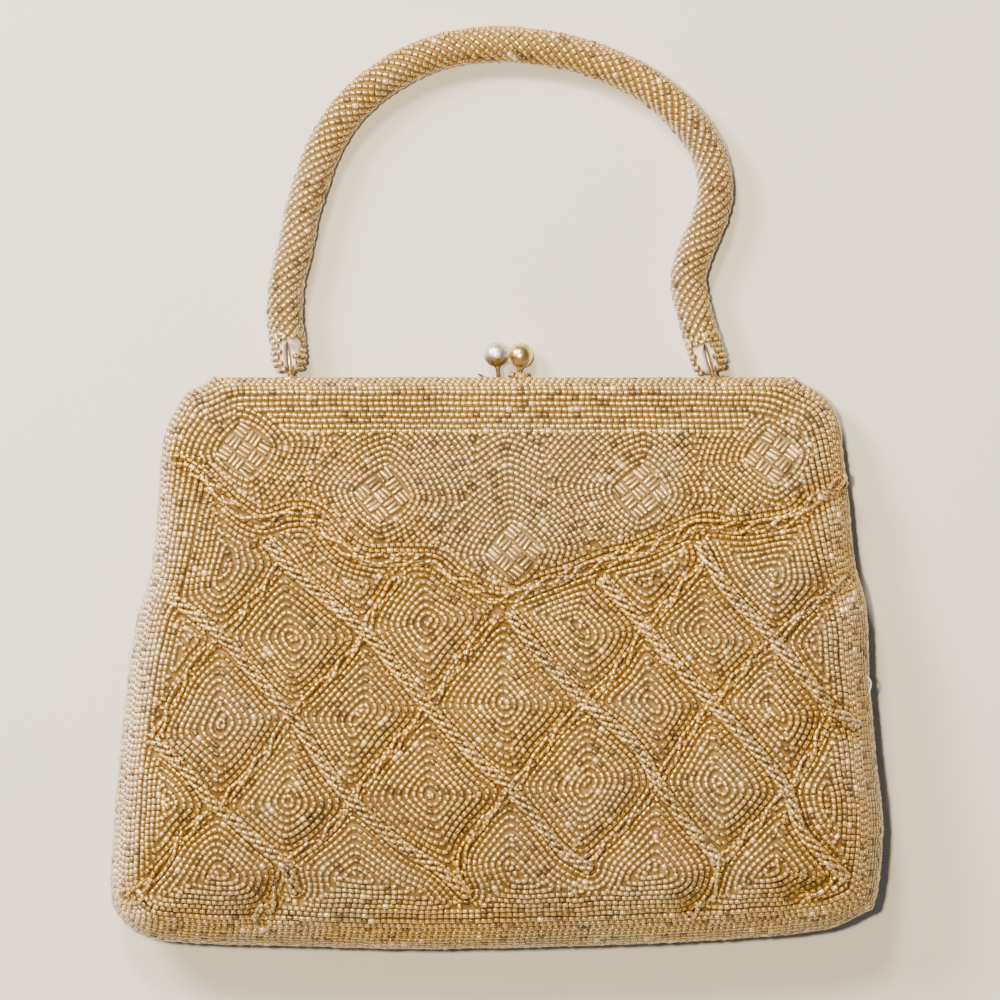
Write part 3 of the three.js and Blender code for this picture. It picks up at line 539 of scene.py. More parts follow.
def beading_tree(name, from_rows):
    """Nodes that string a bead along rows, or set one on each point, and finish them as one mesh."""
    tree = bpy.data.node_groups.new(name, "GeometryNodeTree")
    for label, kind in (("Geometry", "Geometry"), ("Bead", "Object"), ("Step", "Float"), ("Turn", "Float"),
                        ("Lift", "Float"), ("Smallest", "Float"), ("Seed", "Int"), ("Material", "Material")):
        tree.interface.new_socket(label, in_out="INPUT", socket_type="NodeSocket" + kind)
    tree.interface.new_socket("Geometry", in_out="OUTPUT", socket_type="NodeSocketGeometry")
    nodes, links = tree.nodes, tree.links

    def add(kind, settings=None, inputs=None):
        node = nodes.new(kind)
        for key, value in (settings or {}).items():
            setattr(node, key, value)
        for key, value in (inputs or {}).items():
            if isinstance(value, bpy.types.NodeSocket):
                links.new(value, node.inputs[key])
            else:
                node.inputs[key].default_value = value
        return node

    def stored(name):
        return add("GeometryNodeInputNamedAttribute", {"data_type": "FLOAT_VECTOR"}, {"Name": name}).outputs[0]

    def opposite(value):
        return add("ShaderNodeMath", {"operation": "MULTIPLY"}, {0: value, 1: -1.0}).outputs[0]

    def chance(low, high):
        limits = {2: low, 3: high, "Seed": given["Seed"]}
        return add("FunctionNodeRandomValue", {"data_type": "FLOAT"}, limits).outputs[1]

    given = add("NodeGroupInput").outputs
    if from_rows:
        curve = add("GeometryNodeMeshToCurve", None, {"Mesh": given["Geometry"]})
        length = add("GeometryNodeSplineLength")
        short = add("FunctionNodeCompare", {"operation": "LESS_THAN"},
                    {0: length.outputs[0], 1: SHORTEST_ROW * MM})
        kept = add("GeometryNodeDeleteGeometry", {"domain": "CURVE"},
                   {"Geometry": curve.outputs[0], "Selection": short.outputs[0]})
        spread = add("GeometryNodeCurveToPoints", {"mode": "LENGTH"},
                     {"Curve": kept.outputs[0], "Length": given["Step"]})
        points, along = spread.outputs["Points"], spread.outputs["Tangent"]
    else:
        spread = add("GeometryNodeMeshToPoints", None, {"Mesh": given["Geometry"]})
        points, along = spread.outputs[0], stored("along")
    out = stored("out")
    rise = chance(opposite(given["Lift"]), given["Lift"])
    shift = add("ShaderNodeVectorMath", {"operation": "SCALE"}, {0: out, "Scale": rise})
    raised = add("GeometryNodeSetPosition", None, {"Geometry": points, "Offset": shift.outputs[0]})
    aim = add("FunctionNodeAxesToRotation", {"primary_axis": "Z", "secondary_axis": "X"},
              {0: out, 1: along})
    low, high = (add("ShaderNodeCombineXYZ", None, dict.fromkeys(range(3), turn))
                 for turn in (opposite(given["Turn"]), given["Turn"]))
    tilt = add("FunctionNodeRandomValue", {"data_type": "FLOAT_VECTOR"},
               {0: low.outputs[0], 1: high.outputs[0], "Seed": given["Seed"]})
    tilted = add("FunctionNodeEulerToRotation", None, {0: tilt.outputs[0]})
    turned = add("FunctionNodeRotateRotation", {"rotation_space": "LOCAL"},
                 {0: aim.outputs[0], 1: tilted.outputs[0]})
    bead = add("GeometryNodeObjectInfo", None, {"Object": given["Bead"]})
    beads = add("GeometryNodeInstanceOnPoints", None, {
        "Points": raised.outputs[0], "Instance": bead.outputs["Geometry"],
        "Rotation": turned.outputs[0], "Scale": chance(given["Smallest"], 1.0)})
    toned = add("GeometryNodeStoreNamedAttribute", {"data_type": "FLOAT", "domain": "INSTANCE"},
                {"Geometry": beads.outputs[0], "Name": "tone", "Value": chance(0.0, 1.0)})
    real = add("GeometryNodeRealizeInstances", None, {"Geometry": toned.outputs[0]})
    finished = add("GeometryNodeSetMaterial", None, {"Geometry": real.outputs[0], "Material": given["Material"]})
    result = add("NodeGroupOutput")
    links.new(finished.outputs[0], result.inputs[0])
    return tree


row_tree = beading_tree("bead_rows", True)
point_tree = beading_tree("bead_points", False)


def set_beads(name, points, outs, material, bead, seed, edges=None, alongs=None, groove=None,
              step=BEAD_STEP, turn=0.13, lift=0.1, smallest=0.9):
    """Piece of beads strung along rows, or one on each point. Places are in millimetres."""
    guide = new_piece(name, points, [], edges=() if edges is None else edges)
    if groove is not None:
        guide.data.attributes.new("groove", "FLOAT", "POINT").data.foreach_set("value", groove)
    values = {"out": outs} if alongs is None else {"out": outs, "along": alongs}
    for key, vectors in values.items():
        attribute = guide.data.attributes.new(key, "FLOAT_VECTOR", "POINT")
        attribute.data.foreach_set("vector", np.asarray(vectors, np.float32).ravel())
    tree = row_tree if alongs is None else point_tree
    given = {"Bead": bead, "Step": step * MM, "Turn": turn, "Lift": lift * MM, "Smallest": smallest,
             "Seed": seed, "Material": material}
    modifier = guide.modifiers.new("beads", "NODES")
    modifier.node_group = tree
    for item in tree.interface.items_tree:
        if item.item_type == "SOCKET" and item.in_out == "INPUT" and item.name in given:
            modifier[item.identifier] = given[item.name]
    bpy.context.view_layer.update()
    shown = guide.evaluated_get(bpy.context.evaluated_depsgraph_get())
    mesh = bpy.data.meshes.new_from_object(shown)
    guide.modifiers.clear()
    guide.data = mesh
    mesh.name = name
    return guide


def level_rows(points, normals, field, zone, pitch, first, groove=None):
    """Lines along which a measure over the face is constant, one for each row of beads. The value
    groove, if given, goes along with each point."""
    rows, columns = field.shape
    index = np.arange(rows * columns).reshape(rows, columns)
    a, b, c, d = index[:-1, :-1], index[1:, :-1], index[1:, 1:], index[:-1, 1:]
    triangles = np.concatenate([np.stack(half, -1).reshape(-1, 3) for half in ([a, b, c], [a, c, d])])
    triangles = triangles[zone.ravel()[triangles].sum(axis=1) >= 2]
    flat, place, facing = field.ravel(), points.reshape(-1, 3), normals.reshape(-1, 3)
    used = flat[triangles]
    found = {"points": [], "outs": [], "edges": [], "groove": []}
    depth = np.zeros(flat.size) if groove is None else groove.ravel()
    total = 0
    for level in np.arange(first, used.max(), pitch):
        above = used >= level
        cut = np.stack([above[:, i] != above[:, (i + 1) % 3] for i in range(3)], axis=1)
        crossed = cut.any(axis=1)
        if not crossed.any():
            continue
        sides = np.stack([triangles[crossed][:, [i, (i + 1) % 3]] for i in range(3)], axis=1)
        ends = np.sort(sides[cut[crossed]].reshape(-1, 2, 2), axis=2)
        keys, numbers = np.unique(ends[..., 0] * flat.size + ends[..., 1], return_inverse=True)
        low, high = keys // flat.size, keys % flat.size
        share = ((level - flat[low]) / (flat[high] - flat[low]))[:, None]
        found["points"].append(place[low] * (1 - share) + place[high] * share)
        found["outs"].append(facing[low] * (1 - share) + facing[high] * share)
        found["groove"].append(depth[low] * (1 - share[:, 0]) + depth[high] * share[:, 0])
        found["edges"].append(numbers.reshape(-1, 2) + total)
        total += len(keys)
    return {key: np.concatenate(parts) for key, parts in found.items()}


def over_roll(distance, radius, rise):
    """Length of cloth over a rounded edge, up to a place at this distance from it in plan."""
    steps = 12
    turned = np.arccos(1 - np.minimum(distance / radius, 1))
    turns = (turned * (step + 0.5) / steps for step in range(steps))
    length = sum(np.hypot(radius * np.sin(turn), rise * np.cos(turn)) for turn in turns)
    return length * turned / steps + np.maximum(distance - radius, 0)


def soft_least(measures, blur):
    """The least of some measures, rounded where two of them meet."""
    return -blur * np.log(sum(np.exp(-measure / blur) for measure in measures))


def glass_look(name, side, body, painted_highlight, pale_share, painted_window_light=0.0):
    """Silver-lined glass. Its first three colours are low at the sides, over the bead and in a narrow
    line along its crown; the line is a painted highlight, and the darker sides are partly the glass and
    partly painted shade. pale_share: how many beads are almost white. The last value: how far those that
    face left and down are lightened to silver, a painted reflection of the light from the left."""
    look = Look(name, Metallic=0.45, Coat_Weight=0.7, Coat_Roughness=0.05, Coat_IOR=1.5)
    tone, crown, groove = look.attribute("tone"), look.attribute("crown"), look.attribute("groove")
    other = look.node("ShaderNodeMath", {"operation": "FRACT"}, {0: tone * 7.13})
    facing = look.node("ShaderNodeSeparateXYZ", None, {0: look.attribute("out", "Vector")})
    down = look.node("ShaderNodeSeparateXYZ", None, {0: look.attribute("out", "Vector")}, output=1)
    cloud = look.between(look.noise(38.0, 3.0), 0.4, 0.7)
    # Darker amber at the sides than over the crown: partly the thicker glass, partly painted shade.
    glass = look.mix(look.between(crown, 0.1, 0.72), side, body)
    glass = look.mix(look.between(other, 0.5, 1.0) * 0.6, glass, side)
    grey = look.between(look.noise(24.0, 2.0), 0.46, 0.62) * (1 - groove)
    glass = look.mix(grey * 0.45, glass, (0.5, 0.4, 0.25))
    # Painted shade in the grooves: beads near the cords turn dark amber.
    glass = look.mix(look.between(groove, 0.08, 0.9) * 0.85, glass, (0.37, 0.18, 0.01))
    glass = look.mix(cloud * 0.35, glass, (0.3, 0.17, 0.06))
    # Painted highlight: a bright line along each bead's crown.
    line = look.between(crown, 0.84, 0.96) * (0.3 + 0.7 * look.between(tone, 0.0, 0.6))
    glass = look.mix(line, glass, painted_highlight)
    # Painted reflection of the light from the left: beads that face left and down turn silvery.
    edge = look.between(0.0 - facing - 0.35 * down, 0.3, 0.95)
    window_light_share = edge * (0.15 + 0.85 * look.between(crown, 0.55, 0.9)) * painted_window_light
    glass = look.mix(window_light_share, glass, (0.85, 0.84, 0.8))
    glass = look.mix(look.between(tone, 1 - pale_share, 1.01 - pale_share), glass, (0.95, 0.72, 0.42))
    glass = look.mix(look.between(other, 0.93, 0.94) * 0.8, glass, (0.15, 0.08, 0.03))
    # Painted shade at each bead's two ends and holes, where the beads meet.
    rim = look.between(look.attribute("rim"), 0.35, 1.0) * 0.8
    look.feed("Base Color", look.mix(rim, glass, (0.13, 0.07, 0.02)))
    look.feed("Roughness", 0.16 + 0.2 * look.between(look.noise(900.0, 1.0), 0.3, 0.8))
    return look.material


def ground_for_rows(face):
    """Grid over a face, with the length of cloth from its side and from the mouth to each point."""
    points, normals, body = face_grid(face, *ROW_GRID[face])
    side_length = over_roll(body["from_side"], body["side_roll"], body["rise"])
    mouth_length = over_roll(body["from_mouth"], MOUTH_ROLL, body["rise"])
    return points, normals, body["height"], side_length, mouth_length


gold_glass = glass_look("champagne_glass", (0.38, 0.215, 0.045), (0.52, 0.33, 0.1), (1.0, 0.77, 0.36), 0.02, 0.6)

points, normals, bare_heights, side_length, mouth_length = ground_for_rows("front")
plan = points[..., :2]
side_band = (SIDE_ROWS + 0.5) * BAND_PITCH
edge_length = soft_least([side_length - SEAM_ROWS_START, mouth_length], EDGE_BLUR)
# Slow waves, by which no row is quite straight
hand = 0.3 * np.sin(0.31 * plan[..., 0] + 0.17 * plan[..., 1]) \
    * np.sin(0.23 * plan[..., 1] - 0.13 * plan[..., 0] + 1.3)


def on_front(line, lift):
    """Points over the front along a line in plan, with the normals of the face there."""
    step = 1.5
    body = body_at("front", line)
    height = body["height"] + quilting_at(line, body["from_side"])
    slope = [(body_at("front", line + side)["height"] - body_at("front", line - side)["height"]) / (2 * step)
             for side in (np.array([step, 0]), np.array([0, step]))]
    facing = unit(np.column_stack([-slope[0], -slope[1], np.ones(len(line))]))
    return np.column_stack([line, height]) + facing * lift, facing


def bare_height(line):
    return np.column_stack([line, body_at("front", line)["height"]])


def turned_axes(angle):
    """Two directions in plan, at a right angle."""
    return np.array([math.cos(angle), math.sin(angle)]), np.array([-math.sin(angle), math.cos(angle)])


smooth_points = np.dstack([plan, bare_heights])
thick_distance, thin_distance = (distance_to(tree_of([bare_height(line) for line in lines]), smooth_points)
                                 for lines in ([*quilt_lines, yoke_line], cross_lines))
EYE_TURNS = np.radians((8, -6, 4, -5, 7))
eye_distance = np.full(plan.shape[:2], np.inf)
for eye, turn in zip(eye_places, EYE_TURNS):
    u, v = turned_axes(turn)
    away = (np.abs((plan - eye) @ u) ** EYE_SQUARENESS
            + np.abs((plan - eye) @ v) ** EYE_SQUARENESS) ** (1 / EYE_SQUARENESS)
    eye_distance = np.minimum(eye_distance, away)
order = np.argsort(yoke_line[:, 0])
below_yoke = plan[..., 1] < np.interp(plan[..., 0], yoke_line[order, 0], yoke_line[order, 1])
in_side = (side_length < side_band) & ~((eye_distance < EYE_IN_SIDE_ROWS) & ~below_yoke)
in_top = (mouth_length < TOP_ROWS * BAND_PITCH) & (eye_distance > EYE_RINGS) & ~in_side
bare = (thick_distance < BARE_UNDER_THICK) | (thin_distance < BARE_UNDER_THIN)
along_yoke = ~below_yoke & ~in_side & (thick_distance < YOKE_EDGE) & (eye_distance > EYE_IN_YOKE_EDGE) & ~bare
in_yoke = ~(in_side | in_top | along_yoke | below_yoke | bare)
in_quilt = below_yoke & ~in_side & ~bare
upper = plan[..., 1] > QUILT_SPLIT
cells = soft_least([thick_distance - CELL_START, thin_distance, side_length - side_band], CELL_BLUR) + hand
# Painted shade in the grooves: how far each bead near a cord is darkened towards amber.
groove = np.exp(-(np.minimum(thick_distance, thin_distance + GROOVE_SHADE_SHIFT) / GROOVE_SHADE_REACH) ** 2)

zones = (
    ("border_beads", edge_length + hand / 2, in_side | in_top, BAND_PITCH, BAND_PITCH / 2, band_bead, 11),
    ("yoke_edge_beads", thick_distance + hand, along_yoke, CELL_PITCH, YOKE_EDGE_START, cell_bead, 12),
    ("yoke_beads", eye_distance + hand, in_yoke, BAND_PITCH, EYE_PATCH, cell_bead, 13),
    ("upper_quilt_beads", cells, in_quilt & upper, CELL_PITCH, CELL_PITCH / 2, cell_bead, 14),
    ("lower_quilt_beads", cells, in_quilt & ~upper, CELL_PITCH, CELL_PITCH / 2, cell_bead, 15),
)
taken = []
for name, field, zone, pitch, first, bead, seed in zones:
    rows = level_rows(points, normals, field, zone, pitch, first, groove)
    piece = set_beads(name, rows["points"], rows["outs"], gold_glass, bead, seed, edges=rows["edges"],
                      groove=rows["groove"])
    corners = np.empty(len(piece.data.vertices) * 3)
    piece.data.vertices.foreach_get("co", corners)
    taken.append(corners.reshape(-1, len(bead.data.vertices), 3).mean(axis=1) / MM)
    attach(piece, "root")

# The two faces are sewn together over a piping of the same cloth, and one more row of beads runs
# round on this seam.
SEAM_POINTS = 700
PIPING_RADIUS = 0.75
PIPING_INSET = 0.9
SEAM_BEAD_INSET = 0.1


def carried_frames(line):
    """Tangent and two cross directions along a line, turned as little as possible on the way."""
    tangents = unit(np.gradient(line, axis=0))
    first = np.cross(tangents[0], (0, 0, 1.0))
    ups = []
    for tangent in tangents:
        first = first - tangent * np.dot(first, tangent)
        first = first / np.linalg.norm(first)
        ups.append(first)
    ups = np.array(ups)
    return tangents, ups, np.cross(tangents, ups)


def tube_piece(name, line, radii, sides, material):
    """Closed tube round a line, with one radius or one at each of its points."""
    _, ups, sides_way = carried_frames(line)
    radii = np.broadcast_to(radii, len(line))
    turns = np.arange(sides) * 2 * math.pi / sides
    rings = [line[i] + radii[i] * (math.cos(t) * ups[i] + math.sin(t) * sides_way[i])
             for i in range(len(line)) for t in turns]
    return new_piece(name, rings, ring_faces(len(line), sides), material)


def links_along(count, start=0):
    """Edges that join a count of points in a row, from the one numbered start."""
    return np.column_stack([np.arange(count - 1), np.arange(1, count)]) + start


seam_line = np.concatenate([left_edge, base_edge[1:], right_edge[-2::-1]])
seam_line = even_places(seam_line, np.linspace(0, 1, SEAM_POINTS))
seam_run = np.gradient(seam_line, axis=0)
seam_out = unit(np.column_stack([seam_run[:, 1], -seam_run[:, 0], np.zeros(len(seam_run))]))
seam_places = np.column_stack([seam_line, body_at("back", seam_line)["height"] + SEAM_GAP / 2])
piping_line = (seam_places - PIPING_INSET * seam_out)[::2]
piping = tube_piece("seam_piping", piping_line, PIPING_RADIUS, 8, ground_look.material)
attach(piping, "root")
seam_beads = set_beads("seam_beads", seam_places - SEAM_BEAD_INSET * seam_out, seam_out, gold_glass,
                       band_bead, 16, edges=links_along(SEAM_POINTS), smallest=0.96)
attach(seam_beads, "root")

# Each eye of the yoke is a little basket of long beads, three side by side, set on the slant and
# turned a quarter from one block to the next.
BUGLE_LENGTH = 3.7
BUGLE_DIAMETER = 1.25
BUGLES_IN_BLOCK = 3
BLOCK = 4.0
BUGLE_SINK = -0.05
bugle = bead_shape("bugle", BUGLE_DIAMETER, BUGLE_LENGTH, TUBE, 6)
bugle_glass = glass_look("pale_bugle_glass", (0.42, 0.24, 0.06), (0.64, 0.42, 0.16), (1.0, 0.82, 0.46), 0.06)
middles, directions = [], []
for number, eye in enumerate(eye_places):
    u, v = turned_axes(math.radians(45) + EYE_TURNS[number])
    for i in (-1, 0, 1):
        for j in (-1, 0, 1):
            run, side = (u, v) if (i + j) % 2 else (v, u)
            for bead in range(BUGLES_IN_BLOCK):
                across = (bead - (BUGLES_IN_BLOCK - 1) / 2) * BLOCK / BUGLES_IN_BLOCK
                middles.append(eye + (u * i + v * j) * BLOCK + side * across)
                directions.append(run)
places, facing = on_front(np.array(middles), BUGLE_SINK)
runs = np.column_stack([np.array(directions), np.zeros(len(directions))])
eyes = set_beads("eye_bugles", places, facing, bugle_glass, bugle, 21, alongs=runs, turn=0.14, lift=0.2)
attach(eyes, "root")

# Single beads fill the spots between the rows and at their ends.
taken += [places + runs * BUGLE_LENGTH * share for share in (-0.35, 0.0, 0.35)]
covered_tree = tree_over(np.concatenate(taken))
open_cloth = (~bare) & (side_length > BAND_PITCH) & (mouth_length > BAND_PITCH / 2)
spots = []
for row, column in zip(*np.nonzero(open_cloth)):
    place = points[row, column]
    if covered_tree.find(place)[2] > BARE_SPOT \
            and all(np.linalg.norm(place - points[spot]) > SPOTS_APART for spot in spots):
        spots.append((row, column))
spot_places = np.array([points[spot] for spot in spots])
spot_runs = np.random.default_rng(17).normal(size=(len(spots), 3)) * (1, 1, 0)
spot_outs = np.array([normals[spot] for spot in spots])
fillers = set_beads("filler_beads", spot_places, spot_outs, gold_glass, cell_bead, 17, alongs=spot_runs,
                    groove=np.array([groove[spot] for spot in spots]))
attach(fillers, "root")

# The back has plain rows across it, and rows along its edge as on the front.
BACK_PITCH = 1.84
BACK_BEAD = (1.88, 1.82)
BACK_STEP = 1.86
BACK_OVERLAP = 1.7
back_bead = bead_shape("back_bead", *BACK_BEAD, ((-1, 0.9), (1, 0.9)), 5)
points, normals, _, side_length, mouth_length = ground_for_rows("back")
points = points - normals * BACK_BEAD[0] / 2
for name, field, zone, seed in (
        ("back_border_beads", side_length - BACK_PITCH / 2, side_length < side_band, 31),
        ("back_beads", mouth_length, side_length > side_band - BACK_OVERLAP, 32)):
    rows = level_rows(points, normals, field, zone, BACK_PITCH, BACK_PITCH / 2)
    piece = set_beads(name, rows["points"], rows["outs"], gold_glass, back_bead, seed, edges=rows["edges"],
                      step=BACK_STEP)
    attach(piece, "root")

# The cords are strings of the same beads twisted round each other and stitched down in the grooves:
# four strings in the thick cords, two in the thin ones, and four wavy ones along the yoke.
STRING_FINENESS = 0.8
FLATTENING = 0.9
pale_glass = glass_look("pale_glass", (0.44, 0.23, 0.045), (0.7, 0.46, 0.15), (1.0, 0.8, 0.42), 0.06)
amber_glass = glass_look("amber_glass", (0.4, 0.18, 0.015), (0.62, 0.36, 0.075), (1.0, 0.76, 0.32), 0.03)


def twisted_strings(line, strings, radius, lay, lift, wave=0.0, start=0.0):
    """Strings wound round a line on the front, as points, outward directions and edges."""
    fine = fine_places(line, STRING_FINENESS)
    centre, facing = on_front(fine, lift)
    side = unit(np.cross(facing, unit(np.gradient(centre, axis=0))))
    along = np.linspace(0, length_of(line), len(fine))
    points, outs, edges = [], [], []
    for string in range(strings):
        turn = 2 * math.pi * (along / lay + string / strings) + start + wave * np.sin(along * 0.4 + 2 * string)
        away = facing * np.cos(turn)[:, None] * FLATTENING + side * np.sin(turn)[:, None]
        edges.append(links_along(len(fine), string * len(fine)))
        points.append(centre + away * radius)
        outs.append(away * 0.6 + facing)
    return np.concatenate(points), np.concatenate(outs), np.concatenate(edges)


def cord_piece(name, line, material, seed, slot, node, **twist):
    points, outs, edges = twisted_strings(line, **twist)
    piece = set_beads(name, points, outs, material, string_bead, seed, edges=edges,
                      step=STRING_STEP, turn=0.1, lift=0.06)
    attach(piece, "root")
    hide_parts(node)


for number, line in enumerate(quilt_lines, 1):
    cord_piece(f"twisted_cord_{number}", line, pale_glass, 40 + number, "pale_beads", f"quilt_cord_{number}",
               strings=4, radius=1.25, lay=14, lift=1.9)
for number, line in enumerate(cross_lines, 1):
    cord_piece(f"double_string_{number}", line, amber_glass, 60 + number, "amber_beads", f"cross_cord_{number}",
               strings=2, radius=1.05, lay=22, lift=1.1, wave=0.6, start=number * 1.3)
cord_piece("yoke_strings", yoke_line, amber_glass, 90, "amber_beads", "yoke_cord",
           strings=4, radius=1.5, lay=40, lift=1.2, wave=0.8)

# The frame inside the mouth is flat silver-plated brass, riveted at the hinges.
silver_look = Look("worn_silver_plate", Metallic=1.0)
wear = silver_look.between(silver_look.noise(420.0, 6.0), 0.52, 0.66)
silver_look.feed("Base Color", silver_look.mix(wear, (0.82, 0.8, 0.77), (0.5, 0.36, 0.18)))
silver_look.feed("Roughness", 0.16 + 0.3 * silver_look.noise(1500.0, 3.0))
silver_look.bump(silver_look.noise(900.0, 4.0), 0.35, 0.0003)
for node in ("frame_front", "frame_back", "hinge_pin_left", "hinge_pin_right"):
    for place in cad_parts[node].material_slots:
        place.material = silver_look.material

# The clasp is two balls on wire stems, one silver-plated and worn, one brass. Each stands on one
# half of the frame, and they snap past each other.
HINGE_DROP = 60
HANDLE_SPAN = 121
BALL_RADIUS = 3.55
CLASP_MIDDLE = 3.3
STEM_DIAMETER = 1.3
FRAME_TOP = -4.7
FOOT_ASIDE = 2.2
BALL_ASIDE = 3.35
BALL_UP = 7
BALL_FORWARD = 1.6
COLLAR = 1.5

hinge_fullness, hinge_share = (np.interp(HINGE_DROP / BODY_HEIGHT, SIDE_PROFILE[:, 0], column)
                               for column in SIDE_PROFILE.T[1:])
hinge_height = (MOUTH_DEPTH + (FULL_DEPTH - MOUTH_DEPTH) * hinge_fullness) * hinge_share
frame_tilt = -math.atan2(hinge_height - MOUTH_DEPTH / 2, HINGE_DROP)
frame_place = Matrix.Translation((0, TOP_Y, MOUTH_DEPTH / 2)) @ Matrix.Rotation(frame_tilt, 4, "X")


def turned_piece(name, profile, sides, place, material):
    """Round piece about its own Y axis, from radii and places on the axis, closed at both ends."""
    turns = np.arange(sides) * 2 * math.pi / sides
    rings = [(radius * math.sin(t), along, radius * math.cos(t)) for radius, along in profile for t in turns]
    moved = [tuple(place @ Vector(point)) for point in rings]
    return new_piece(name, moved, ring_faces(len(profile), sides), material)


def along_y(start, end):
    """Place whose Y axis runs from one point to another, and the length between them."""
    start, end = Vector(start), Vector(end)
    turn = Vector((0, 1, 0)).rotation_difference(end - start).to_matrix().to_4x4()
    return Matrix.Translation(start) @ turn, (end - start).length


brass_look = Look("old_brass", Metallic=1.0)
tarnish = brass_look.between(brass_look.noise(260.0, 5.0), 0.5, 0.72)
brass_look.feed("Base Color", brass_look.mix(tarnish, (0.86, 0.66, 0.3), (0.32, 0.22, 0.09)))
brass_look.feed("Roughness", 0.14 + 0.35 * brass_look.noise(700.0, 4.0))
brass_look.bump(brass_look.noise(1200.0, 3.0), 0.2, 0.0002)

# The plate of the silver ball is worn through to brown brass below, and pitted.
ball_look = Look("worn_silver_ball", Metallic=1.0)
upward = ball_look.node("ShaderNodeSeparateXYZ", None, {0: ball_look.place()}, output=1)
ragged = upward + 0.0022 * ball_look.noise(500.0, 4.0)
worn = ball_look.between(ragged, (TOP_Y + 7.8) * MM, (TOP_Y + 6.4) * MM)
pits = ball_look.between(ball_look.noise(1300.0, 5.0), 0.57, 0.63)
plate = ball_look.mix(worn * 0.95, (0.9, 0.89, 0.87), (0.4, 0.25, 0.09))
ball_look.feed("Base Color", ball_look.mix(pits * 0.9, plate, (0.08, 0.055, 0.035)))
ball_look.feed("Roughness", 0.3 + 0.3 * ball_look.noise(1100.0, 4.0))
ball_look.bump(pits, 0.5, 0.0003)

for name, node, facing, slot, material in (
        ("silver_knob", "clasp_knob_front", 1, "worn_silver", ball_look.material),
        ("brass_knob", "clasp_knob_back", -1, "brass", brass_look.material)):
    foot = frame_place @ Vector((CLASP_MIDDLE - facing * FOOT_ASIDE, FRAME_TOP, facing * STEM_DIAMETER))
    ball = frame_place @ Vector((CLASP_MIDDLE - facing * BALL_ASIDE, BALL_UP, facing * BALL_FORWARD))
    place, length = along_y(foot, ball)
    stem = STEM_DIAMETER / 2
    neck = math.asin(stem * COLLAR / BALL_RADIUS)
    profile = [(stem, 0), (stem, length - BALL_RADIUS - 0.5), (stem * COLLAR, length - BALL_RADIUS - 0.1)]
    profile += [(BALL_RADIUS * math.sin(angle), length - BALL_RADIUS * math.cos(angle))
                for angle in np.linspace(neck, math.pi - 0.02, 22)]
    knob = turned_piece(name, profile, 36, place, material)
    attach(knob, "root")
    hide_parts(node)

# The handle is a stuffed cloth rope that lies in an arch on the floor and rises to two wire posts.
# Its cover is strung with the same beads in rows that wind round it.
HANDLE_RADIUS = 5.2
HANDLE_RISE = 94.4
TIP_LENGTH = 11
POST_DIAMETER = 1.8
POST_HEIGHT = 14.3
TIP_LOW = 6.9
ROPE_CORE = 4.35
ROPE_ROWS = 11
ROPE_LAY = 30
ROPE_STEP = 1.2
ROPE_IN_TIP = 1.5
ROPE_STRAIGHT = 5.2
# Columns: share of half the span, share of the rise above the mouth
HANDLE_ROUTE = (
    (-0.98, 0.265), (-0.963, 0.325), (-0.93, 0.412), (-0.903, 0.5), (-0.86, 0.59), (-0.81, 0.68), (-0.73, 0.77),
    (-0.625, 0.845), (-0.49, 0.91), (-0.325, 0.964), (-0.16, 0.991), (0.02, 1.0), (0.21, 0.988), (0.39, 0.964),
    (0.58, 0.917), (0.74, 0.858), (0.88, 0.774), (0.98, 0.68), (1.015, 0.59), (1.005, 0.516), (0.965, 0.442),
    (0.915, 0.368), (0.89, 0.305), (0.9, 0.25),
)
HANDLE_ENDS = (("left", -0.945, 6), ("right", 1.035, 17))

end_places = {}
rope_ends = []
for side, across, lean in HANDLE_ENDS:
    place = frame_place @ Matrix.Translation((across * HANDLE_SPAN / 2, FRAME_TOP, 0.15 + POST_DIAMETER / 2)) \
        @ Matrix.Rotation(math.radians(lean), 4, "Z")
    end_places[side] = place
    seat = TIP_LOW + TIP_LENGTH - ROPE_IN_TIP
    rope_ends.append([tuple(place @ Vector((0, seat + step, 0))) for step in (0, ROPE_STRAIGHT)])
lay_points = [(across * HANDLE_SPAN / 2, TOP_Y + up * HANDLE_RISE, HANDLE_RADIUS) for across, up in HANDLE_ROUTE]
rope_line = smooth_line([*rope_ends[0], *lay_points, *rope_ends[1][::-1]])
rope_length = length_of(rope_line)
rope_line = even_places(rope_line, np.linspace(0, 1, int(rope_length / ROPE_STEP) + 1))

rope_core = tube_piece("handle_core", rope_line, ROPE_CORE, 18, ground_look.material)
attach(rope_core, "root")
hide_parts("handle_rope")

_, ups, across_ways = carried_frames(rope_line)
along = np.linspace(0, rope_length, len(rope_line))
points, outs, edges = [], [], []
for row in range(ROPE_ROWS):
    turn = 2 * math.pi * (along / ROPE_LAY + row / ROPE_ROWS)
    away = np.cos(turn)[:, None] * ups + np.sin(turn)[:, None] * across_ways
    edges.append(links_along(len(along), row * len(along)))
    points.append(rope_line + away * (HANDLE_RADIUS - BAND_BEAD[0] / 2))
    outs.append(away)
rope_beads = set_beads("handle_beads", np.concatenate(points), np.concatenate(outs), gold_glass, band_bead, 71,
                       edges=np.concatenate(edges), turn=0.12, lift=0.1)
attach(rope_beads, "root")

# Each end of the rope is closed with ivory satin, drawn in round the post and slit for it. The rows
# of beads run on over the satin to its end, but leave an oval of it bare round the slit.
TIP_RADIUS = 3.9
TIP_SIDES = 60
SLIT_TOP = 14.9
SLIT_HALF_WIDTH = 1.15
SLIT_FLOOR = 0.6
TIP_PITCH = 1.6
TIP_RINGS = 44
TIP_CROWDING = 1.7
SLIT_TAPER = 3.0
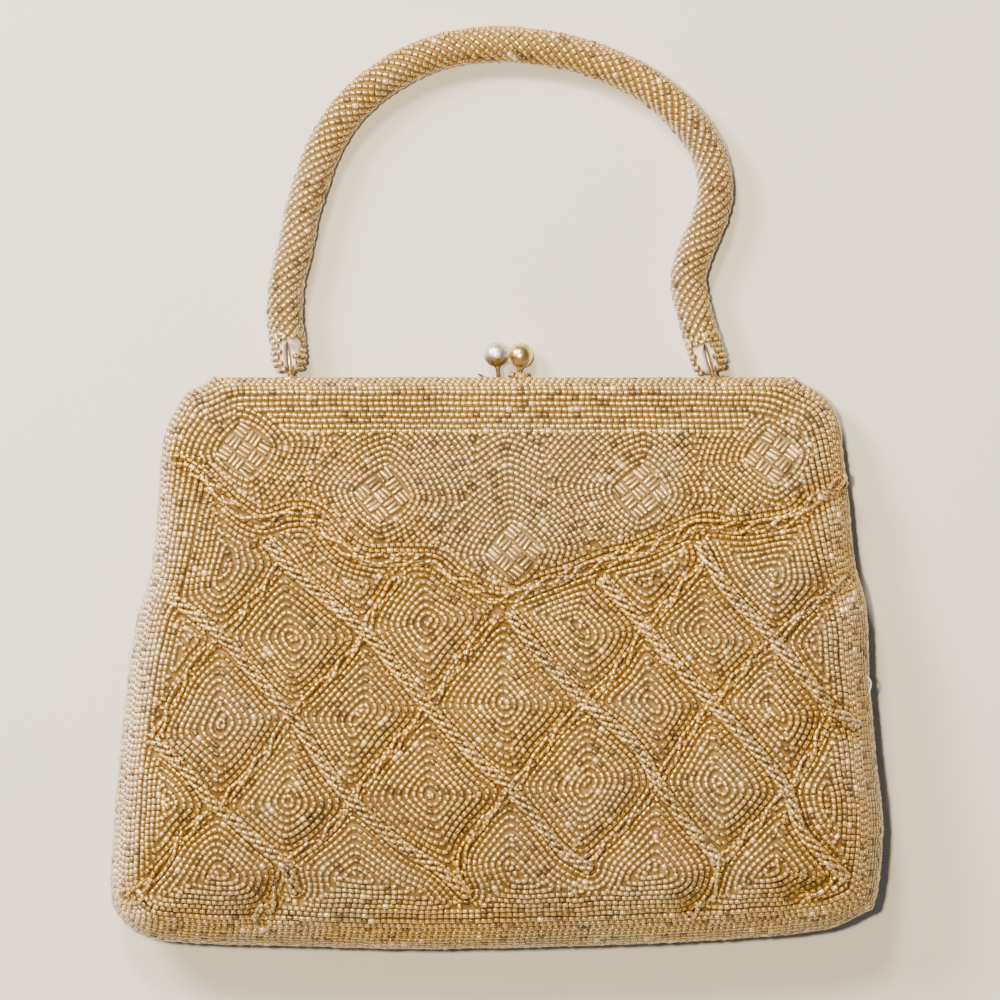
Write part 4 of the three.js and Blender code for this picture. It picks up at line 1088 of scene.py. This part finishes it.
# Columns: share of the radius, share of the tip's length
TIP_PROFILE = np.array([
    (0.0, -0.01), (0.4, 0.0), (0.66, 0.04), (0.84, 0.11), (0.94, 0.2), (0.99, 0.32), (1.0, 0.5), (1.0, 0.7),
    (1.0, 0.85), (0.98, 1.0),
])
# Bare satin on the front of each tip, across and along it: middle, then half its width and length
BARE_SATIN = {"left": ((1.1, 14.2), (3.0, 3.3)), "right": ((-1.4, 11.4), (2.4, 3.9))}

satin_look = Look("ivory_satin", Sheen_Weight=0.4, Sheen_Roughness=0.4)
threads = satin_look.node("ShaderNodeTexWave", {"bands_direction": "X"},
                          {"Vector": satin_look.place(), "Scale": 1400.0, "Distortion": 1.0, "Detail": 2.0})
soil = satin_look.between(satin_look.noise(300.0, 4.0), 0.45, 0.75)
ivory = satin_look.mix(soil, (0.84, 0.76, 0.62), (0.5, 0.36, 0.2))
# Painted shade in the slit: the satin there turns almost black.
slit = satin_look.between(satin_look.attribute("slit"), 0.05, 0.6)
satin_look.feed("Base Color", satin_look.mix(slit, ivory, (0.14, 0.055, 0.015)))
satin_look.feed("Roughness", 0.38 + 0.2 * satin_look.noise(500.0, 2.0))
satin_look.bump(threads, 0.25, 0.0002)


def slit_tip(name, place, folds):
    """Satin end about its own Y axis, with a slit on its front side that narrows upwards."""
    turns = np.linspace(-1, 1, TIP_SIDES, endpoint=False)
    turns = np.sign(turns) * np.abs(turns) ** TIP_CROWDING * math.pi
    heights = np.linspace(TIP_PROFILE[1, 1], 1, TIP_RINGS)
    radii = TIP_RADIUS * np.interp(heights, TIP_PROFILE[:, 1], TIP_PROFILE[:, 0])
    along = TIP_LOW + heights * TIP_LENGTH
    radius = np.repeat(radii[:, None], TIP_SIDES, axis=1)
    radius = radius * (1 + 0.03 * np.sin(5 * turns + folds)[None] * np.sin(0.9 * along + folds)[:, None])
    across = np.abs(radius * np.sin(turns)) + 9 * (np.cos(turns) < 0)
    half = SLIT_HALF_WIDTH * np.sqrt(np.clip((SLIT_TOP - along) / SLIT_TAPER, 0, 1))[:, None] + 1e-6
    inside = np.clip(1.25 - across / half, 0, 1)
    inside = inside * inside * (3 - 2 * inside)
    lip = 0.22 * np.exp(-((across - half * 1.5) / 0.35) ** 2) * (half > 0.1)
    radius = (radius + lip) * (1 - inside) + np.minimum(SLIT_FLOOR, radius) * inside
    up = np.repeat(along[:, None], TIP_SIDES, axis=1)
    rings = np.stack([radius * np.sin(turns), up, radius * np.cos(turns)], -1)
    moved = [tuple(place @ Vector(point)) for point in rings.reshape(-1, 3)]
    tip = new_piece(name, moved, ring_faces(TIP_RINGS, TIP_SIDES), satin_look.material)
    tip.data.attributes.new("slit", "FLOAT", "POINT").data.foreach_set("value", inside.ravel())
    return tip


for number, (side, place) in enumerate(end_places.items()):
    tip = slit_tip(f"satin_tip_{side}", place, 1.3 + 2 * number)
    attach(tip, "root")
    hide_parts(f"handle_tip_{side}")
    (middle_x, middle_y), (half_width, half_length) = BARE_SATIN[side]
    turn_only = place.to_3x3()
    beads, outs, runs = [], [], []
    for ring, up in enumerate(np.arange(TIP_LOW + 0.7, TIP_LOW + TIP_LENGTH - 0.3, TIP_PITCH)):
        share = (up - TIP_LOW) / TIP_LENGTH
        ring_radius = TIP_RADIUS * np.interp(share, TIP_PROFILE[:, 1], TIP_PROFILE[:, 0]) + 0.45
        count = int(2 * math.pi * ring_radius / BAND_BEAD[1])
        slope = max(0.0, 0.5 - 3 * share)
        for turn in np.arange(count) * 2 * math.pi / count + ring * 0.25:
            x, z = ring_radius * math.sin(turn), ring_radius * math.cos(turn)
            if z > 0 and ((x - middle_x) / half_width) ** 2 + ((up - middle_y) / half_length) ** 2 < 1:
                continue
            if z > 0 and abs(x) < SLIT_HALF_WIDTH + 0.6 and up < SLIT_TOP:
                continue
            beads.append(tuple(place @ Vector((x, up, z))))
            outs.append(tuple(turn_only @ Vector((math.sin(turn), -slope, math.cos(turn))).normalized()))
            runs.append(tuple(turn_only @ Vector((math.cos(turn), 0, -math.sin(turn)))))
    sleeve = set_beads(f"tip_beads_{side}", np.array(beads), np.array(outs), gold_glass, band_bead, 73 + number,
                       alongs=np.array(runs), turn=0.16, lift=0.12)
    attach(sleeve, "root")
    radius = POST_DIAMETER / 2
    wire = [(radius, 0), (radius, POST_HEIGHT - radius), (radius * 0.8, POST_HEIGHT - radius * 0.35),
            (radius * 0.35, POST_HEIGHT)]
    post = turned_piece(f"wire_post_{side}", wire, 20, place, brass_look.material)
    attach(post, "root")
    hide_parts(f"handle_post_{side}")

# Loose beads have gathered in small heaps: at the clasp, at the feet of the posts, and where a cord
# ends near the base in a white knot. Two more cords end in a loop.
HEAPS = (
    ("clasp_heap", (6.0, TOP_Y + 0.1, 8.4), (3.3, 1.9, 1.8), 26, gold_glass, 81),
    ("right_post_heap", (62.9, TOP_Y - 0.3, 9.0), (2.0, 1.2, 1.4), 10, amber_glass, 82),
    ("left_post_heap", (-57.2, TOP_Y - 0.2, 9.2), (1.4, 0.8, 1.0), 4, gold_glass, 83),
)
for name, middle, size, count, material, seed in HEAPS:
    rng = np.random.default_rng(seed)
    outs = unit(rng.normal(size=(count, 3)) + (0, 0.3, 0.6))
    heap = set_beads(name, np.array(middle) + outs * size * 0.8, outs, material, cell_bead, seed,
                     alongs=rng.normal(size=(count, 3)), turn=0.6, lift=0.2)
    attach(heap, "root")

LOOP_POINTS = 24
LOOPS = (("left_cord_loop", (-101.2, -64.5), (3.4, 1.9)), ("base_cord_loop", (-64.8, -69.9), (2.2, 3.4)),
         ("white_knot", (53.6, -69.3), (1.0, 0.9)))
for number, (name, middle, size) in enumerate(LOOPS):
    turns = np.linspace(0, 2 * math.pi, LOOP_POINTS, endpoint=False)
    ring = np.array(middle) + np.column_stack([np.cos(turns) * size[0], np.sin(turns) * size[1]])
    places, facing = on_front(ring, 0.9 + 0.5 * (name == "white_knot"))
    edges = np.column_stack([np.arange(LOOP_POINTS), (np.arange(LOOP_POINTS) + 1) % LOOP_POINTS])
    loop = set_beads(name, places, facing, pale_glass, string_bead, 85 + number, edges=edges,
                     step=STRING_STEP)
    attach(loop, "root")

# A sliver of silver wire sticks out beside the clasp, and a white thread has come out of the side.
SLIVER_RADII = (0.5, 0.28)
THREAD_RADIUS = 0.22
sliver_line = smooth_line([(-1.6, TOP_Y - 3.5, 6.2), (-2.9, TOP_Y - 0.4, 7.0), (-4.2, TOP_Y + 1.0, 7.6),
                           (-5.5, TOP_Y + 1.7, 8.0)])[::10]
sliver = tube_piece("silver_sliver", sliver_line, np.linspace(*SLIVER_RADII, len(sliver_line)), 10,
                    silver_look.material)
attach(sliver, "root")

thread_look = Look("white_thread", Sheen_Weight=0.3)
soiled = thread_look.noise(2500.0, 2.0)
thread_look.feed("Base Color", thread_look.mix(soiled, (0.9, 0.9, 0.88), (0.7, 0.68, 0.64)))
thread_look.feed("Roughness", 0.6 + 0.2 * thread_look.noise(3000.0, 1.0))
thread_line = smooth_line([(101.6, -2.7, 15.4), (103.2, -3.4, 17.2), (104.6, -5.6, 17.6), (104.0, -8.2, 17.4),
                           (103.0, -9.6, 16.6), (102.4, -10.5, 14.8)])[::5]
thread = tube_piece("loose_thread", thread_line, THREAD_RADIUS, 8, thread_look.material)
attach(thread, "root")

for bead in (band_bead, cell_bead, string_bead, bugle, back_bead):
    bpy.data.objects.remove(bead)

bpy.context.view_layer.update()
corners = {"cad": [list(corner) for corner in cad_box], "visual": [list(corner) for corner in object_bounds()]}
